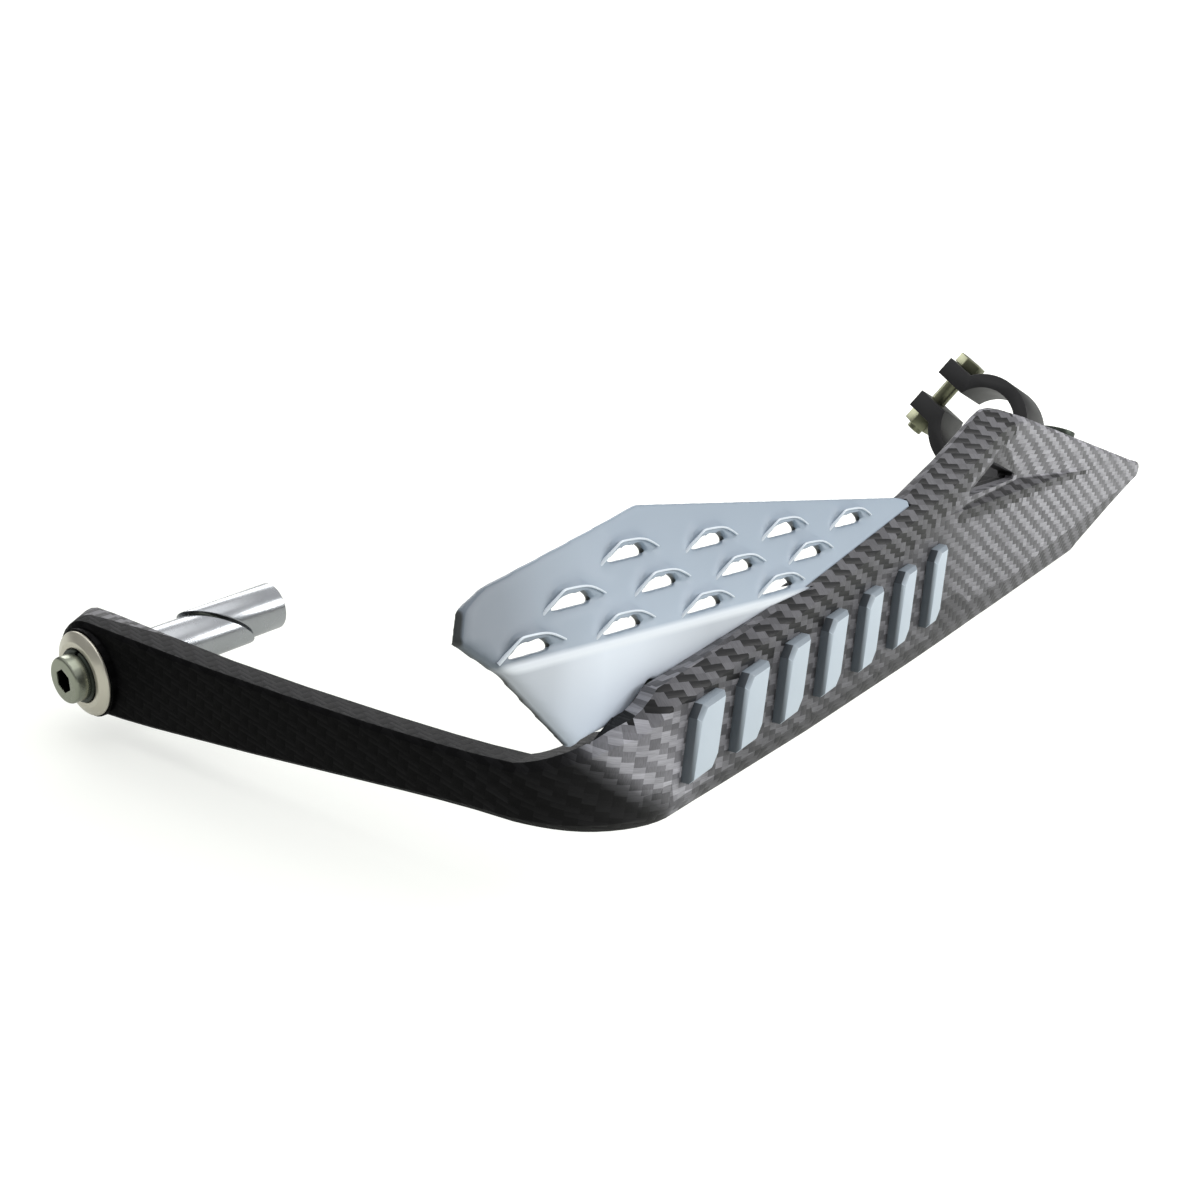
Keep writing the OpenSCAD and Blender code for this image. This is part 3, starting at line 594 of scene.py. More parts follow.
@dataclass(frozen=True)
class Weave:
    """Moulded-in twill of flat tows, mapped along the arm, the bend and the blade.

    Heights and places along the path are in millimetres.

    Attributes:
        path: Path that the cloth follows.
        long: Length of one tow cell along the path.
        short: Height of one tow cell.
        lean: Angle of the cloth to the path, in degrees.
        wander: How far the tows wander across the path, in cells.
        wander_along: Share of that by which they wander along it.
        cloud: Scale of the noise that they wander by.
        flat_from: How far up or down a surface faces where the cloth follows its depth.
        repeat: Cells in the twill's repeat.
        on_top: Part of the repeat where the tow along the path lies on top.
        fibres: Fibre streaks in a cell across the two tows, and along them.
        cells_vary: Least brightness of a cell, and how much more it can have.
        fibres_vary: Least brightness of a fibre streak, and how much more it can have.
        relief: Strength of the tows' relief, its depth in metres and the fibres' share in it.
        tint: Colour that the tones are multiplied by.
        roughness: Roughness of the surface.
        stops: Tones along the path: the cloth's own tones with painted highlight and shade,
            brightest on the bend.
        shine: Specular level along the path, out of WHOLE.
        late: Stretch of path over which the slant of the tones' start fades, and that slant, which
            shapes the painted highlight on the bend.
        late_from: Place along the path where the slant begins, and the height it turns about.
        band: Height along the path above which the cloth is darkened as painted shade on the top
            bevel.
        band_tones: Tones of the black and the grey tows in that painted shade.
        band_black: Part of the repeat that is black there.
        recess_top: Top of the shaded recess that runs inboard from the window.
        recess_foot: Foot of that recess.
        recess_shares: Shares of the two tows' tones that are left in it.
        arm_end: Place along the path up to which the top edge is darkened as painted shade.
        edge_tones: Tones of the two tows in the painted shade on that edge.
        bevel: How far up the lower bevel faces at most, and the share of tone left on it by
            painted shade.
        window: Stretch of path where the window's walls lie.
        wall: Least depth and greatest height of those walls.
        ledge: Least facing up and greatest depth of the ledge below the window, which gets painted
            light.
        wall_tones: Tones of the ledge's painted light and of the walls' painted shade.
    """

    path: Path = Path()
    long: float = 3.3
    short: float = 1.3
    lean: float = -12.0
    wander: float = 0.9
    wander_along: float = 0.5
    cloud: float = 55.0
    flat_from: float = 0.8
    repeat: float = 4.0
    on_top: float = 1.5
    fibres: Vec = (7.0, 14.0, 0.8)
    cells_vary: tuple[float, float] = (0.8, 0.4)
    fibres_vary: tuple[float, float] = (0.55, 0.9)
    relief: Vec = (0.3, 0.00025, 0.4)
    tint: Vec = (0.97, 0.962, 1.035)
    roughness: float = 0.48
    stops: tuple[Stop, ...] = (
        Stop(0, 0.0040, 0.0024), Stop(125, 0.0055, 0.003), Stop(150, 0.010, 0.005),
        Stop(164, 0.016, 0.009), Stop(169, 0.11, 0.05), Stop(173, 0.43, 0.24),
        Stop(186, 0.40, 0.21), Stop(201, 0.23, 0.10), Stop(224, 0.14, 0.06),
        Stop(330, 0.125, 0.065), Stop(362, 0.23, 0.10), Stop(440, 0.35, 0.14),
        Stop(480, 0.32, 0.15), Stop(545, 0.30, 0.165))
    shine: Points = ((0, 3), (150, 5), (200, 30), (560, 36))
    late: Vec = (190.0, 216.0, 1.2)
    late_from: tuple[float, float] = (150.0, 21.0)
    band: Points = (
        (0, 81.5), (172, 81.5), (178, 27), (191, 28), (215, 25), (260, 24), (324, 28.5),
        (348, 33.5), (378, 42.5), (392, 41.5), (400, 81.5))
    band_tones: tuple[float, float] = (0.008, 0.115)
    band_black: float = 1.8
    recess_top: Points = (
        (0, 0), (346, 0), (348, 28), (357, 30.6), (406, 25.6), (469, 13.6), (471, 0))
    recess_foot: Points = (
        (0, 90), (346, 90), (348, 27.2), (383, 22), (407, 20), (469, 13.2), (471, 90))
    recess_shares: tuple[float, float] = (0.34, 0.16)
    arm_end: float = 182.0
    edge_tones: tuple[float, float] = (0.011, 0.005)
    bevel: tuple[float, float] = (-0.16, 0.5)
    window: tuple[float, float] = (345.0, 412.0)
    wall: tuple[float, float] = (-20.6, 41.0)
    ledge: tuple[float, float] = (0.4, -18.6)
    wall_tones: tuple[float, float] = (0.22, 0.006)

    def material(self) -> bpy.types.Material:
        """Builds the woven material.

        Returns:
            The material.
        """
        n = Nodes(bpy.data.materials.new("carbon_weave"))
        cloth = self.lay(n)
        # The tones hold painted highlight and shade along the path, and the steps below add
        # painted shade and painted light
        tone = self.along_path(n, cloth)
        tone = self.under_rim(n, cloth, tone)
        tone = self.in_recess(n, cloth, tone)
        tone = self.on_edges(n, cloth, tone)
        tone = self.round_window(n, cloth, tone)
        shine = n.math("DIVIDE", n.curve(cloth.run, self.shine), WHOLE)
        strength, depth, fibre = self.relief
        relief = n.math("ADD", cloth.arch, n.math("MULTIPLY", cloth.streak, fibre))
        bump = n.add("ShaderNodeBump", Strength=strength, Distance=depth, Height=relief)
        n.dress(Base_Color=n.times(tone, self.tint), Roughness=self.roughness,
                Specular_IOR_Level=shine, Normal=bump.outputs[0])
        return n.owner

    def lay(self, n: Nodes) -> Cloth:
        """Lays the twill's cells over the beam.

        Args:
            n: Node tree that is being built.

        Returns:
            What is known of each point.
        """
        run, deep, height = self.path.sockets(n)
        up = n.facing()[2]
        level = n.math("GREATER_THAN", n.math("ABSOLUTE", up), self.flat_from)
        rise = n.pick(level, deep, height)
        cos, sin = math.cos(math.radians(self.lean)), math.sin(math.radians(self.lean))
        cloud = n.add("ShaderNodeTexNoise", Vector=n.place(), Scale=self.cloud, Detail=1.0)
        shake = n.math("MULTIPLY_ADD", cloud.outputs["Fac"], self.wander, -self.wander / 2)
        u = n.math("ADD", n.weigh(run, cos / self.long, rise, sin / self.long),
                   n.math("MULTIPLY", shake, self.wander_along))
        v = n.math("ADD", n.weigh(run, -sin / self.short, rise, cos / self.short), shake)
        column, row = n.math("FLOOR", u), n.math("FLOOR", v)
        # The thousand added repeats keep the place above zero
        count = n.math("ADD", n.math("ADD", column, row), self.repeat * 1000)
        phase = n.math("MODULO", count, self.repeat)
        over = n.math("LESS_THAN", phase, self.on_top)
        cell = n.add("ShaderNodeCombineXYZ", X=column, Y=row).outputs[0]
        dice = n.add("ShaderNodeTexWhiteNoise", noise_dimensions="3D", Vector=cell)
        # Fibre streaks run along whichever tow lies on top
        across = n.product(n.pick(over, v, u), n.pick(over, self.fibres[0], self.fibres[1]))
        length = n.math("MULTIPLY", n.pick(over, u, v), self.fibres[2])
        fibre = n.add("ShaderNodeCombineXYZ", X=across, Y=length).outputs[0]
        streak = n.add("ShaderNodeTexNoise", Vector=fibre, Scale=1.0, Detail=3.0).outputs["Fac"]
        (least, more), (fine_least, fine_more) = self.cells_vary, self.fibres_vary
        vary = n.product(n.math("MULTIPLY_ADD", dice.outputs["Value"], more, least),
                         n.math("MULTIPLY_ADD", streak, fine_more, fine_least))
        middle = n.weigh(n.math("ADD", column, 0.5), sin * self.long,
                         n.math("ADD", row, 0.5), cos * self.short)
        arch = n.pick(over, self.arch(n, n.math("FRACT", v)), self.arch(n, n.math("FRACT", u)))
        return Cloth(run, deep, height, up, level, phase, over, middle, streak, vary, arch)

    def along_path(self, n: Nodes, cloth: Cloth) -> Socket:
        """Gives the tones along the path, with their painted highlight and shade, which on the
        bend start later on lower places.

        Args:
            n: Node tree that is being built.
            cloth: What is known of the point.

        Returns:
            The tone.
        """
        start, end, slope = self.late
        later = n.math("MULTIPLY", n.span(cloth.run, start, end, slope, 0.0),
                       n.math("SUBTRACT", cloth.height, self.late_from[1]))
        lit = n.pick(n.math("GREATER_THAN", cloth.run, self.late_from[0]),
                     n.math("ADD", cloth.run, later), cloth.run)
        tones = [n.along(lit, tuple((stop.place, getattr(stop, tow.value)) for stop in self.stops))
                 for tow in (Tow.ALONG, Tow.ACROSS)]
        return n.product(n.pick(cloth.over, *tones), cloth.vary)

    def under_rim(self, n: Nodes, cloth: Cloth, tone: Socket) -> Socket:
        """Paints shade as a jagged dark band under the top edge, up to the blade's peak.

        Args:
            n: Node tree that is being built.
            cloth: What is known of the point.
            tone: The tone so far.

        Returns:
            The tone with the band.
        """
        above = n.math("SUBTRACT", cloth.middle, n.curve(cloth.run, self.band))
        black, grey = (n.math("MULTIPLY", cloth.vary, tow) for tow in self.band_tones)
        dark = n.pick(n.math("LESS_THAN", cloth.phase, self.band_black), black, grey)
        return n.pick(n.math("GREATER_THAN", above, 0.0), dark, tone)

    def in_recess(self, n: Nodes, cloth: Cloth, tone: Socket) -> Socket:
        """Shades the recess that runs inboard from the window.

        Args:
            n: Node tree that is being built.
            cloth: What is known of the point.
            tone: The tone so far.

        Returns:
            The tone with the recess.
        """
        below = n.math("LESS_THAN", cloth.height, n.curve(cloth.run, self.recess_top))
        above = n.math("GREATER_THAN", cloth.middle, n.curve(cloth.run, self.recess_foot))
        shaded = n.product(tone, n.pick(cloth.over, *self.recess_shares))
        return n.pick(n.product(below, above), shaded, tone)

    def on_edges(self, n: Nodes, cloth: Cloth, tone: Socket) -> Socket:
        """Paints shade on the arm's top edge and the blade's lower bevel.

        Args:
            n: Node tree that is being built.
            cloth: What is known of the point.
            tone: The tone so far.

        Returns:
            The tone with the painted shade on the edges.
        """
        top = n.product(cloth.level, n.math("LESS_THAN", cloth.run, self.arm_end))
        tone = n.pick(top, n.pick(cloth.over, *self.edge_tones), tone)
        below = n.math("LESS_THAN", cloth.up, self.bevel[0])
        return n.pick(below, n.math("MULTIPLY", tone, self.bevel[1]), tone)

    def round_window(self, n: Nodes, cloth: Cloth, tone: Socket) -> Socket:
        """Paints shade on the window's walls, with painted light on the ledge below them.

        Args:
            n: Node tree that is being built.
            cloth: What is known of the point.
            tone: The tone so far.

        Returns:
            The tone with the window.
        """
        wall = n.product(n.math("GREATER_THAN", cloth.deep, self.wall[0]),
                         n.math("LESS_THAN", cloth.height, self.wall[1]))
        wall = n.product(wall, n.between(cloth.run, *self.window))
        ledge = n.product(n.math("GREATER_THAN", cloth.up, self.ledge[0]),
                          n.math("LESS_THAN", cloth.deep, self.ledge[1]))
        return n.pick(wall, n.pick(ledge, *self.wall_tones), tone)

    @staticmethod
    def arch(n: Nodes, across: Socket) -> Socket:
        """Gives the rounded height of a tow, 0 to 1, from the place across it."""
        return n.math("MULTIPLY", n.product(across, n.math("SUBTRACT", 1.0, across)), 4.0)


@dataclass(frozen=True)
class Shoulder:
    """The beam's top edge behind the bend, which is drawn down to where it shows.

    Attributes:
        path: Path of the beam.
        drops: Places along the path, and how far the edge is drawn down there.
        rim: Height that only the edge's own corners pass on the blade.
        bend_end: Place along the path outboard of which that height falls.
        fall: How much it falls per millimetre.
        pocket: Least place, least depth and greatest height of the pockets' corners, which stay.
        step: Length of path whose corners move together.
    """

    path: Path = Path()
    drops: Points = (
        (158, 0.0), (174.9, 0.0), (177.6, 0.9), (181, 2.2), (184.4, 2.9), (187.8, 3.0),
        (191.2, 2.7), (204.2, 3.7), (217, 3.4), (224, 3.2), (236, 2.0), (248, 0.0))
    rim: float = 30.1
    bend_end: float = 191.2
    fall: float = 0.45
    pocket: Vec = (192.0, -20.5, 31.9)
    step: float = 1.2

    def drop(self, run: float) -> float:
        """Gives how far the edge is drawn down.

        Args:
            run: Place along the path.

        Returns:
            The drop in millimetres.
        """
        for (start, low), (end, high) in zip(self.drops, self.drops[1:]):
            if start <= run < end:
                return low + (high - low) * (run - start) / (end - start)
        return 0.0

    def moves(self, run: float, deep: float, height: float) -> bool:
        """Tells whether a corner belongs to the edge and is drawn down.

        Args:
            run: Its place along the path.
            deep: Its depth.
            height: Its height.

        Returns:
            True where it is drawn down.
        """
        brink = self.rim - max(self.bend_end - run, 0.0) * self.fall
        pocket = run > self.pocket[0] and deep > self.pocket[1] and height < self.pocket[2]
        return height > brink and not pocket and self.drop(run) > 0

    def ease(self, beam: bpy.types.Object) -> None:
        """Draws the edge down.

        Args:
            beam: The merged copy of the beam, active and selected.
        """
        corners = []
        for v in beam.data.vertices:
            run, deep = self.path.run(v.co.x / MM, v.co.y / MM)
            if self.moves(run, deep, v.co.z / MM):
                corners.append((run, v.index))
        place = self.drops[0][0]
        while place < self.drops[-1][0]:
            chosen = [index for run, index in corners if place <= run < place + self.step]
            if chosen:
                bpy.ops.object.mode_set(mode="EDIT")
                bpy.ops.mesh.select_all(action="DESELECT")
                bpy.ops.object.mode_set(mode="OBJECT")
                for index in chosen:
                    beam.data.vertices[index].select = True
                bpy.ops.object.mode_set(mode="EDIT")
                down = self.drop(place + self.step / 2) * MM
                bpy.ops.transform.translate(value=(0.0, 0.0, -down))
                bpy.ops.object.mode_set(mode="OBJECT")
            place += self.step


@dataclass(frozen=True)
class Deflector:
    """The louvred deflector: its finish, and the rolled lips of its louvres.

    Places on the upper panel are along the ridge, up the panel and off it, in millimetres.

    Attributes:
        finish: Its main look.
        rim: How far left its rolled edge faces where the edge's painted shade starts and ends.
        rim_grey: Colour of that painted shade.
        crease: Half the ridge's painted highlight line where it starts and ends to fade, in
            metres, and the
        share of its colour.
        crease_grey: Colour of that painted highlight.
        upper_from: Height above the ridge where the upper panel's look, with its painted shade,
            starts and is full.
        low_span: Height above the ridge of the lower panel's two colours, in metres.
        low_greys: Those colours, painted light that is brightest near the ridge.
        low_tones: Their shares along the ridge, a painted highlight that is brightest part way
            along.
        high_span: Height of the upper panel's two colours.
        high_greys: Those colours, darker than the lower panel's as painted shade on the panel that
            leans back.
        high_tones: Their shares along the ridge, a painted shade that deepens outboard.
        tones_from: Outboard end of those shares, from the ridge's foot.
        level_hoods: How far a hood faces as the panel does where its shading starts and ends to
            lean to the panel's own, and how much it then leans.
        foot: Point of the ridge that ways along it are told from, in millimetres.
        ridge: Direction along the ridge.
        lean: Angle between the two panels' faces, in degrees.
        first: Place of each row's first louvre.
        columns: Louvres in a row.
        pitch: Spacing along a row.
        sag: How much lower each next louvre sits, times the number of its row.
        lip: Points of a lip on the panel, each with its share of the thickness.
        lip_radius: Half the lips' thickness.
        lip_detail: Steps round a lip's quarter, and steps between its points.
    """

    finish: Finish = DEFLECTOR_GREY
    rim: tuple[float, float] = (0.56, 0.72)
    rim_grey: Vec = srgb(58, 62, 62)
    crease: Vec = (0.0005, 0.0016, 0.75)
    crease_grey: Vec = srgb(238, 244, 249)
    upper_from: tuple[float, float] = (-0.0004, 0.0008)
    low_span: tuple[float, float] = (-0.026, -0.003)
    low_greys: tuple[Vec, Vec] = (srgb(197, 210, 226), srgb(232, 240, 249))
    low_tones: Points = (
        (3, 0.50), (30, 0.70), (37, 0.86), (48, 1.0), (60, 0.98), (88, 0.72), (140, 0.68))
    high_span: tuple[float, float] = (0.002, 0.024)
    high_greys: tuple[Vec, Vec] = (srgb(165, 179, 193), srgb(150, 164, 178))
    high_tones: Points = (
        (3, 0.42), (18, 0.52), (30, 0.76), (46, 0.95), (60, 1.0), (140, 1.0))
    tones_from: float = -130.0
    level_hoods: Vec = (0.5, 0.75, 0.7)
    foot: Vec = (97.25, -155.79, 32.8)
    ridge: Vec = (0.9844, 0.1043, -0.1416)
    lean: float = 20.0
    first: Points = ((-105.5, 3.7), (-89.5, 11.2), (-67.6, 18.7))
    columns: int = 4
    pitch: float = 31.6
    sag: float = 0.5
    lip: tuple[tuple[float, float, float, float], ...] = (
        (-11.0, -1.9, -0.5, 1.9), (-9.9, -0.8, 0.6, 1.7), (-7.2, 1.4, 2.2, 1.1),
        (-6.0, 2.2, 2.6, 1.0), (-4.4, 2.3, 2.6, 1.0), (1.8, 2.2, 2.6, 1.0),
        (6.6, 1.0, 1.5, 1.0), (10.2, -0.3, 0.4, 0.8))
    lip_radius: float = 0.27
    lip_detail: tuple[int, int] = (3, 6)

    def axes(self) -> tuple[Vector, Vector, Vector, Vector]:
        """Finds the panels' directions.

        Returns:
            Along the ridge, up the lower panel, up the upper panel and out of the upper panel.
        """
        ridge = Vector(self.ridge).normalized()
        low_face = ridge.cross(UP).normalized()
        low_up = low_face.cross(ridge)
        angle = math.radians(self.lean)
        face = low_face * math.cos(angle) + low_up * math.sin(angle)
        return ridge, low_up, face.cross(ridge), face

    def on_panel(self, along: float, up: float, off: float) -> Vector:
        """Finds a point of the upper panel.

        Args:
            along: Its way along the ridge.
            up: Its way up the panel.
            off: Its way off the panel.

        Returns:
            The point in metres.
        """
        ridge, _, panel_up, face = self.axes()
        return (Vector(self.foot) + ridge * along + panel_up * up + face * off) * MM

    def material(self) -> bpy.types.Material:
        """Makes its finish: satin grey, with painted shade where its rolled edge turns away, a
        painted highlight along the ridge and painted light and shade on the panels.

        Returns:
            The material.
        """
        material = plain_material(self.finish)
        n = Nodes(material)
        ridge, low_up, _, face = self.axes()
        arm = n.vector("SUBTRACT", n.place(), Vector(self.foot) * MM).outputs["Vector"]
        rise = n.vector("DOT_PRODUCT", arm, low_up).outputs["Value"]
        above = n.span(rise, *self.upper_from)
        off = n.vector("CROSS_PRODUCT", arm, ridge).outputs["Vector"]
        # Painted highlight: a pale line along the ridge
        start, end, share = self.crease
        crease = n.span(n.vector("LENGTH", off).outputs["Value"], start, end, share, 0.0)
        # Painted shade where the rolled edge turns away to the left
        away = n.span(n.math("MULTIPLY", n.facing()[0], -1.0), *self.rim)
        # Painted light and shade on the two panels: the lower one brightest near the ridge and
        # part way along, the upper one darker as it leans back
        inboard = n.vector("DOT_PRODUCT", arm, ridge).outputs["Value"]
        place = n.math("MULTIPLY_ADD", inboard, 1 / MM, -self.tones_from)
        lower = n.times(n.mix(n.span(rise, *self.low_span), *self.low_greys),
                        n.along(place, self.low_tones))
        upper = n.times(n.mix(n.span(rise, *self.high_span), *self.high_greys),
                        n.along(place, self.high_tones))
        colour = n.mix(crease, n.mix(above, lower, upper), self.crease_grey)
        n.dress(Base_Color=n.mix(away, colour, self.rim_grey))
        # The louvres' low hoods hardly show, so their shading leans to the panel's own
        sense = n.add("ShaderNodeNewGeometry").outputs["Normal"]
        alike = n.vector("DOT_PRODUCT", sense, face).outputs["Value"]
        start, end, most = self.level_hoods
        share = n.product(n.span(alike, start, end, 0.0, most), above)
        leant = n.blend(Mixed.VECTOR, share, sense, face)
        grain = n.shader.inputs["Normal"].links[0].from_node
        n.feed(grain.inputs["Normal"], n.vector("NORMALIZE", leant).outputs["Vector"])
        return material

    def lips(self) -> bpy.types.Object:
        """Makes the rolled lip of every louvre.

        Returns:
            One object with all of them.
        """
        made = [self.lip_at(first[0] + column * self.pitch, first[1] - self.sag * column * row)
                for row, first in enumerate(self.first) for column in range(self.columns)]
        bpy.ops.object.select_all(action="DESELECT")
        for lip in made:
            lip.select_set(True)
        bpy.context.view_layer.objects.active = made[0]
        bpy.ops.object.convert(target="MESH")
        bpy.ops.object.join()
        lips = bpy.context.active_object
        lips.name = "louvre_lips"
        bpy.ops.object.mode_set(mode="EDIT")
        bpy.ops.mesh.select_all(action="SELECT")
        bpy.ops.mesh.normals_make_consistent(inside=False)
        bpy.ops.object.mode_set(mode="OBJECT")
        bpy.ops.object.shade_smooth()
        return lips

    def lip_at(self, along: float, up: float) -> bpy.types.Object:
        """Draws one lip as a thick curve.

        Args:
            along: Way of its louvre along the ridge.
            up: Way of its louvre up the panel.

        Returns:
            The curve.
        """
        bpy.ops.curve.primitive_nurbs_path_add()
        lip = bpy.context.active_object
        line = lip.data.splines[0]
        line.points.add(len(self.lip) - len(line.points))
        lip.data.bevel_depth, lip.data.use_fill_caps = self.lip_radius * MM, True
        lip.data.bevel_resolution, lip.data.resolution_u = self.lip_detail
        line.order_u, line.use_endpoint_u = 3, True
        for point, (m, h, off, wide) in zip(line.points, self.lip):
            point.co = (*self.on_panel(along + m, up + h, off), 1.0)
            point.radius = wide
        return lip


@dataclass(frozen=True)
class Refining:
    """How a CAD piece's copy is made finer.

    Attributes:
        merge: Corners closer than this many metres become one.
        flat: Faces that turn by less than this many degrees become one, where it is bevelled.
        bevel: Width of the bevel on its sharp edges in metres, 0 for none.
        segments: Steps of the bevel.
        angle: Edges that turn by more than this many degrees are sharp.
        voxel: Size of the remeshing grid in metres, 0 for none.
        relax: Rounds of smoothing after the remeshing.
        soften: How far each round smooths.
    """

    merge: float = 2e-6
    flat: float = 0.6
    bevel: float = 0.0003
    segments: int = 3
    angle: float = 28.0
    voxel: float = 0.0
    relax: int = 0
    soften: float = 0.5


@dataclass
class Guard:
    """The whole guard: finer copies of the CAD nodes with their finishes.

    Attributes:
        beam: Name of the moulded arm and blade.
        sheet: Name of the wind deflector.
        weave: Weave of the beam.
        shoulder: The beam's top edge behind the bend.
        deflector: Finish and lips of the wind deflector.
        finishes: Finish of each node that isn't dark steel, by the start of its name.
        refinings: Refining of each node that has its own.
    """

    frame: dict
    beam: str = "guard_beam"
    sheet: str = "wind_deflector"
    weave: Weave = Weave()
    shoulder: Shoulder = Shoulder()
    deflector: Deflector = Deflector()
    finishes: dict[str, Finish] = field(default_factory=lambda: {
        "wind_deflector": DEFLECTOR_GREY,
        "raised_bar": BAR_GREY,
        "bar_end_bolt": ZINC,
        "cone_washer": CREAM_METAL,
        "expander": TURNED,
        "clamp": ANODISED,
        "pinch": YELLOW_ZINC,
        "thread_insert": BRASS,
    })
    refinings: dict[str, Refining] = field(default_factory=lambda: {
        "wind_deflector": Refining(bevel=0.0, voxel=0.0005, relax=26),
        "guard_beam": Refining(bevel=0.0006, angle=30.0),
        **{f"raised_bar_{i}": Refining(bevel=0.00014, angle=20.0) for i in range(1, 8)},
    })

    def build(self) -> None:
        """Makes every piece of the guard."""
        made: dict[str, bpy.types.Material] = {}
        body = next(iter(self.frame["bodies"]))
        for name, node in self.frame["nodes"].items():
            look = "weave" if name == self.beam else self.finish_of(name).name
            if look not in made:
                made[look] = self.material_of(name)
            node.data.materials.clear()
            node.data.materials.append(made[look])
            piece = self.refine(node, name)
            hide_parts(name)
            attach(piece, body)
            log.info("%s: %d faces, %s", piece.name, len(piece.data.polygons), look)
        lips = self.deflector.lips()
        lips.data.materials.append(plain_material(LIP_HIGHLIGHT))
        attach(lips, body)
        log.info("%s: %d faces", lips.name, len(lips.data.polygons))

    def material_of(self, name: str) -> bpy.types.Material:
        """Makes the material of a CAD node.

        Args:
            name: Name of the node.

        Returns:
            The material.
        """
        if name == self.beam:
            return self.weave.material()
        if name == self.sheet:
            return self.deflector.material()
        return plain_material(self.finish_of(name))

    def finish_of(self, name: str) -> Finish:
        """Finds the finish of a CAD node, which is dark steel if none is named."""
        named = (finish for start, finish in self.finishes.items() if name.startswith(start))
        return next(named, DARK_STEEL)

    def refine(self, node: bpy.types.Object, name: str) -> bpy.types.Object:
        """Makes a merged copy of a CAD node with rounded edges and smooth shading.

        Args:
            node: The CAD node, which isn't changed.
            name: Its name.

        Returns:
            The copy, at the origin.
        """
        how = self.refinings.get(name, Refining())
        copy = node.copy()
        copy.data = node.data.copy()
        copy.name = name + "_fine"
        bpy.context.scene.collection.objects.link(copy)
        bpy.ops.object.select_all(action="DESELECT")
        copy.select_set(True)
        bpy.context.view_layer.objects.active = copy
        bpy.ops.object.mode_set(mode="EDIT")
        bpy.ops.mesh.select_all(action="SELECT")
        bpy.ops.mesh.remove_doubles(threshold=how.merge)
        if how.bevel:
            bpy.ops.mesh.dissolve_limited(angle_limit=math.radians(how.flat))
        bpy.ops.object.mode_set(mode="OBJECT")
        if name == self.beam:
            self.shoulder.ease(copy)
        if how.voxel:
            grid = copy.modifiers.new("grid", "REMESH")
            grid.mode, grid.voxel_size, grid.use_smooth_shade = "VOXEL", how.voxel, True
            soft = copy.modifiers.new("soft", "SMOOTH")
            soft.factor, soft.iterations = how.soften, how.relax
        if how.bevel:
            edge = copy.modifiers.new("edge", "BEVEL")
            edge.limit_method, edge.angle_limit = "ANGLE", math.radians(how.angle)
            edge.width, edge.segments, edge.use_clamp_overlap = how.bevel, how.segments, True
        for modifier in list(copy.modifiers):
            bpy.ops.object.modifier_apply(modifier=modifier.name)
        if how.voxel:
            bpy.ops.object.shade_smooth()
        else:
            bpy.ops.object.shade_smooth_by_angle(angle=math.radians(how.angle))
        return copy


@dataclass(frozen=True)
class Lamp:
    """A soft rectangular studio light.

    Attributes:
        name: Its name.
        place: Where it stands, in metres.
        target: The point that it faces.
        size: Width and height in metres.
        power: Power in watts.
    """

    name: str
    place: Vec
    target: Vec
    size: tuple[float, float]
    power: float

    def build(self) -> None:
        """Adds the light to the scene."""
        bpy.ops.object.light_add(type="AREA", location=self.place)
        lamp = bpy.context.active_object
        lamp.name = self.name
        lamp.data.shape = "RECTANGLE"
        lamp.data.size, lamp.data.size_y = self.size
        lamp.data.energy = self.power
        aim = Vector(self.target) - Vector(self.place)
        lamp.rotation_euler = aim.to_track_quat("-Z", "Y").to_euler()


@dataclass(frozen=True)
class View:
    """The picture's view.

    Attributes:
        place: Where the camera stands, in millimetres.
        right: Direction to the picture's right.
        up: Direction to its top.
        lens: Focal length in millimetres.
        sensor: Width of the sensor in millimetres.
        clip: Nearest and farthest distance that shows, in metres.
    """

    place: Vec = (-255.3, -420.2, 192.2)
    right: Vec = (0.6881, -0.7256, 0.0)
    up: Vec = (0.2509, 0.2379, 0.9383)
    lens: float = 57.0
    sensor: float = 36.0
    clip: tuple[float, float] = (0.01, 50.0)

    def build(self) -> None:
        """Puts the camera where the picture was taken from."""
        data = bpy.data.cameras.new("camera")
        camera = bpy.data.objects.new("camera", data)
        bpy.context.scene.collection.objects.link(camera)
        bpy.context.scene.camera = camera
        data.sensor_width, data.lens = self.sensor, self.lens
        data.clip_start, data.clip_end = self.clip
        right, up = Vector(self.right).normalized(), Vector(self.up).normalized()
        turn = Matrix((right, up, right.cross(up).normalized())).transposed()
        camera.matrix_world = Matrix.Translation(Vector(self.place) * MM) @ turn.to_4x4()


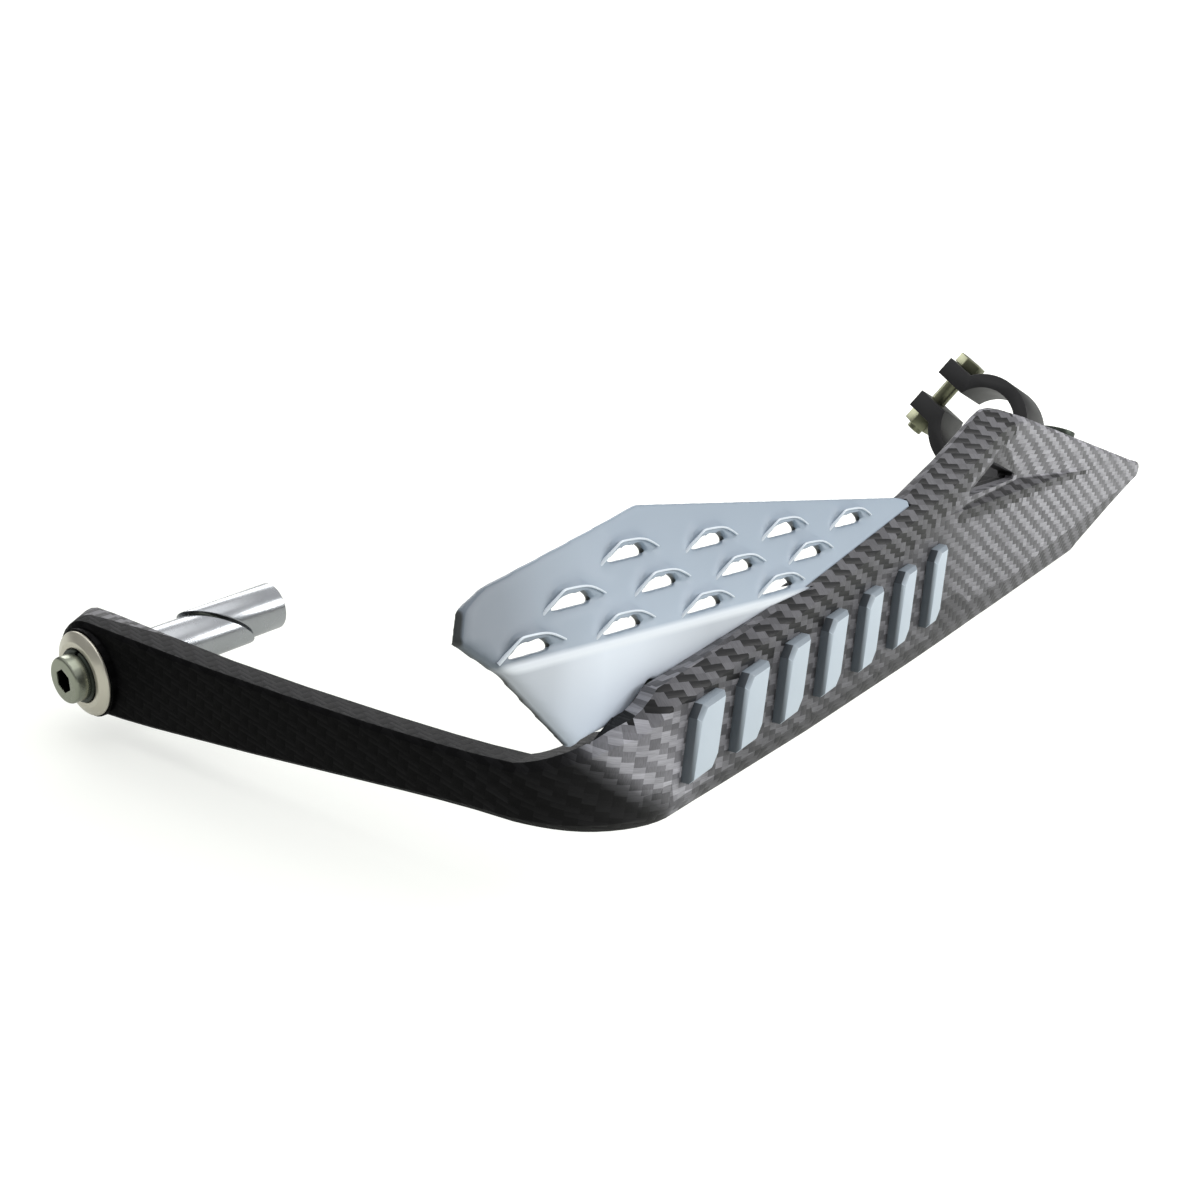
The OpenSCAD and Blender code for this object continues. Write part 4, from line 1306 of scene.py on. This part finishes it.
@dataclass(frozen=True)
class Studio:
    """Pale floor, soft lights and the camera at the picture's view.

    Attributes:
        floor_z: Height of the floor.
        floor_size: Width of the floor in metres.
        paper_colour: Linear colour of the floor's paper.
        glow: Linear colour that the paper glows in, so that it stays white.
        glow_rise: Strength of the glow at the origin, its rise per metre and its most.
        glow_unseen: Share of the glow that other rays than the camera's see.
        sky: Tones of the world from its foot to its top, for every ray but the camera's.
        sky_tint: Colour that those tones are multiplied by.
        lamps: The lights.
        view: The camera's view.
    """

    floor_z: float
    floor_size: float = 30.0
    paper_colour: Vec = (0.55, 0.56, 0.52)
    glow: Vec = (0.985, 0.995, 0.975)
    glow_rise: Vec = (0.56, 0.55, 1.05)
    glow_unseen: float = 0.35
    sky: Points = ((0.0, 0.35), (0.08, 0.05), (0.3, 0.12), (0.55, 0.7), (1.0, 0.75))
    sky_tint: Vec = (1.0, 1.0, 1.02)
    lamps: tuple[Lamp, ...] = (
        Lamp("key", (0.95, -0.95, 0.42), (0.15, -0.14, 0.02), (0.55, 0.55), 9.0),
        Lamp("over", (0.15, -0.1, 1.1), (0.15, -0.1, 0.0), (1.0, 1.0), 3.0),
        Lamp("behind", (0.6, 0.8, 0.45), (0.3, -0.05, 0.0), (0.8, 0.5), 4.0),
    )
    view: View = View()

    def build(self) -> None:
        """Makes the floor, the world, the lights and the camera."""
        bpy.ops.mesh.primitive_plane_add(size=self.floor_size, location=(0, 0, self.floor_z))
        floor = bpy.context.active_object
        floor.name = "floor"
        floor.data.materials.append(self.paper())
        floor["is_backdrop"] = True
        for lamp in self.lamps:
            lamp.build()
        self.world()
        self.view.build()
        scene = bpy.context.scene
        scene.view_settings.view_transform = "Standard"
        scene.view_settings.look = "None"

    def paper(self) -> bpy.types.Material:
        """Makes the floor's paper, which glows so that it stays white and keeps a faint shadow.

        Returns:
            The material.
        """
        n = Nodes(bpy.data.materials.new("paper"))
        far = n.vector("LENGTH", n.place()).outputs["Value"]
        seen = n.add("ShaderNodeLightPath").outputs[CAMERA_RAY]
        start, rise, most = self.glow_rise
        glow = n.math("MINIMUM", n.math("MULTIPLY_ADD", far, rise, start), most)
        seen = n.math("MULTIPLY_ADD", seen, 1 - self.glow_unseen, self.glow_unseen)
        n.dress(Base_Color=self.paper_colour, Roughness=1.0, Specular_IOR_Level=0.0,
                Emission_Color=self.glow, Emission_Strength=n.math("MULTIPLY", glow, seen))
        return n.owner

    def world(self) -> None:
        """Makes a world that is white to the camera and a shaded studio to every other ray."""
        world = bpy.data.worlds.new("studio")
        bpy.context.scene.world = world
        n = Nodes(world)
        back = n.tree.nodes["Background"]
        toward = n.split(n.add("ShaderNodeTexCoord").outputs["Generated"])
        seen = n.add("ShaderNodeLightPath").outputs[CAMERA_RAY]
        shaded = n.ramp(toward[2], self.sky, self.sky_tint)
        n.feed(back.inputs["Color"], n.mix(seen, shaded, WHITE))
        n.feed(back.inputs["Strength"], 1.0)


def main() -> None:
    """Builds the scene."""
    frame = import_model()
    Guard(frame).build()
    low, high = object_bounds()
    Studio(floor_z=low.z).build()
    log.info("size %s %s", [round(v, 4) for v in low], [round(v, 4) for v in high])


if __name__ == "__main__":
    main()
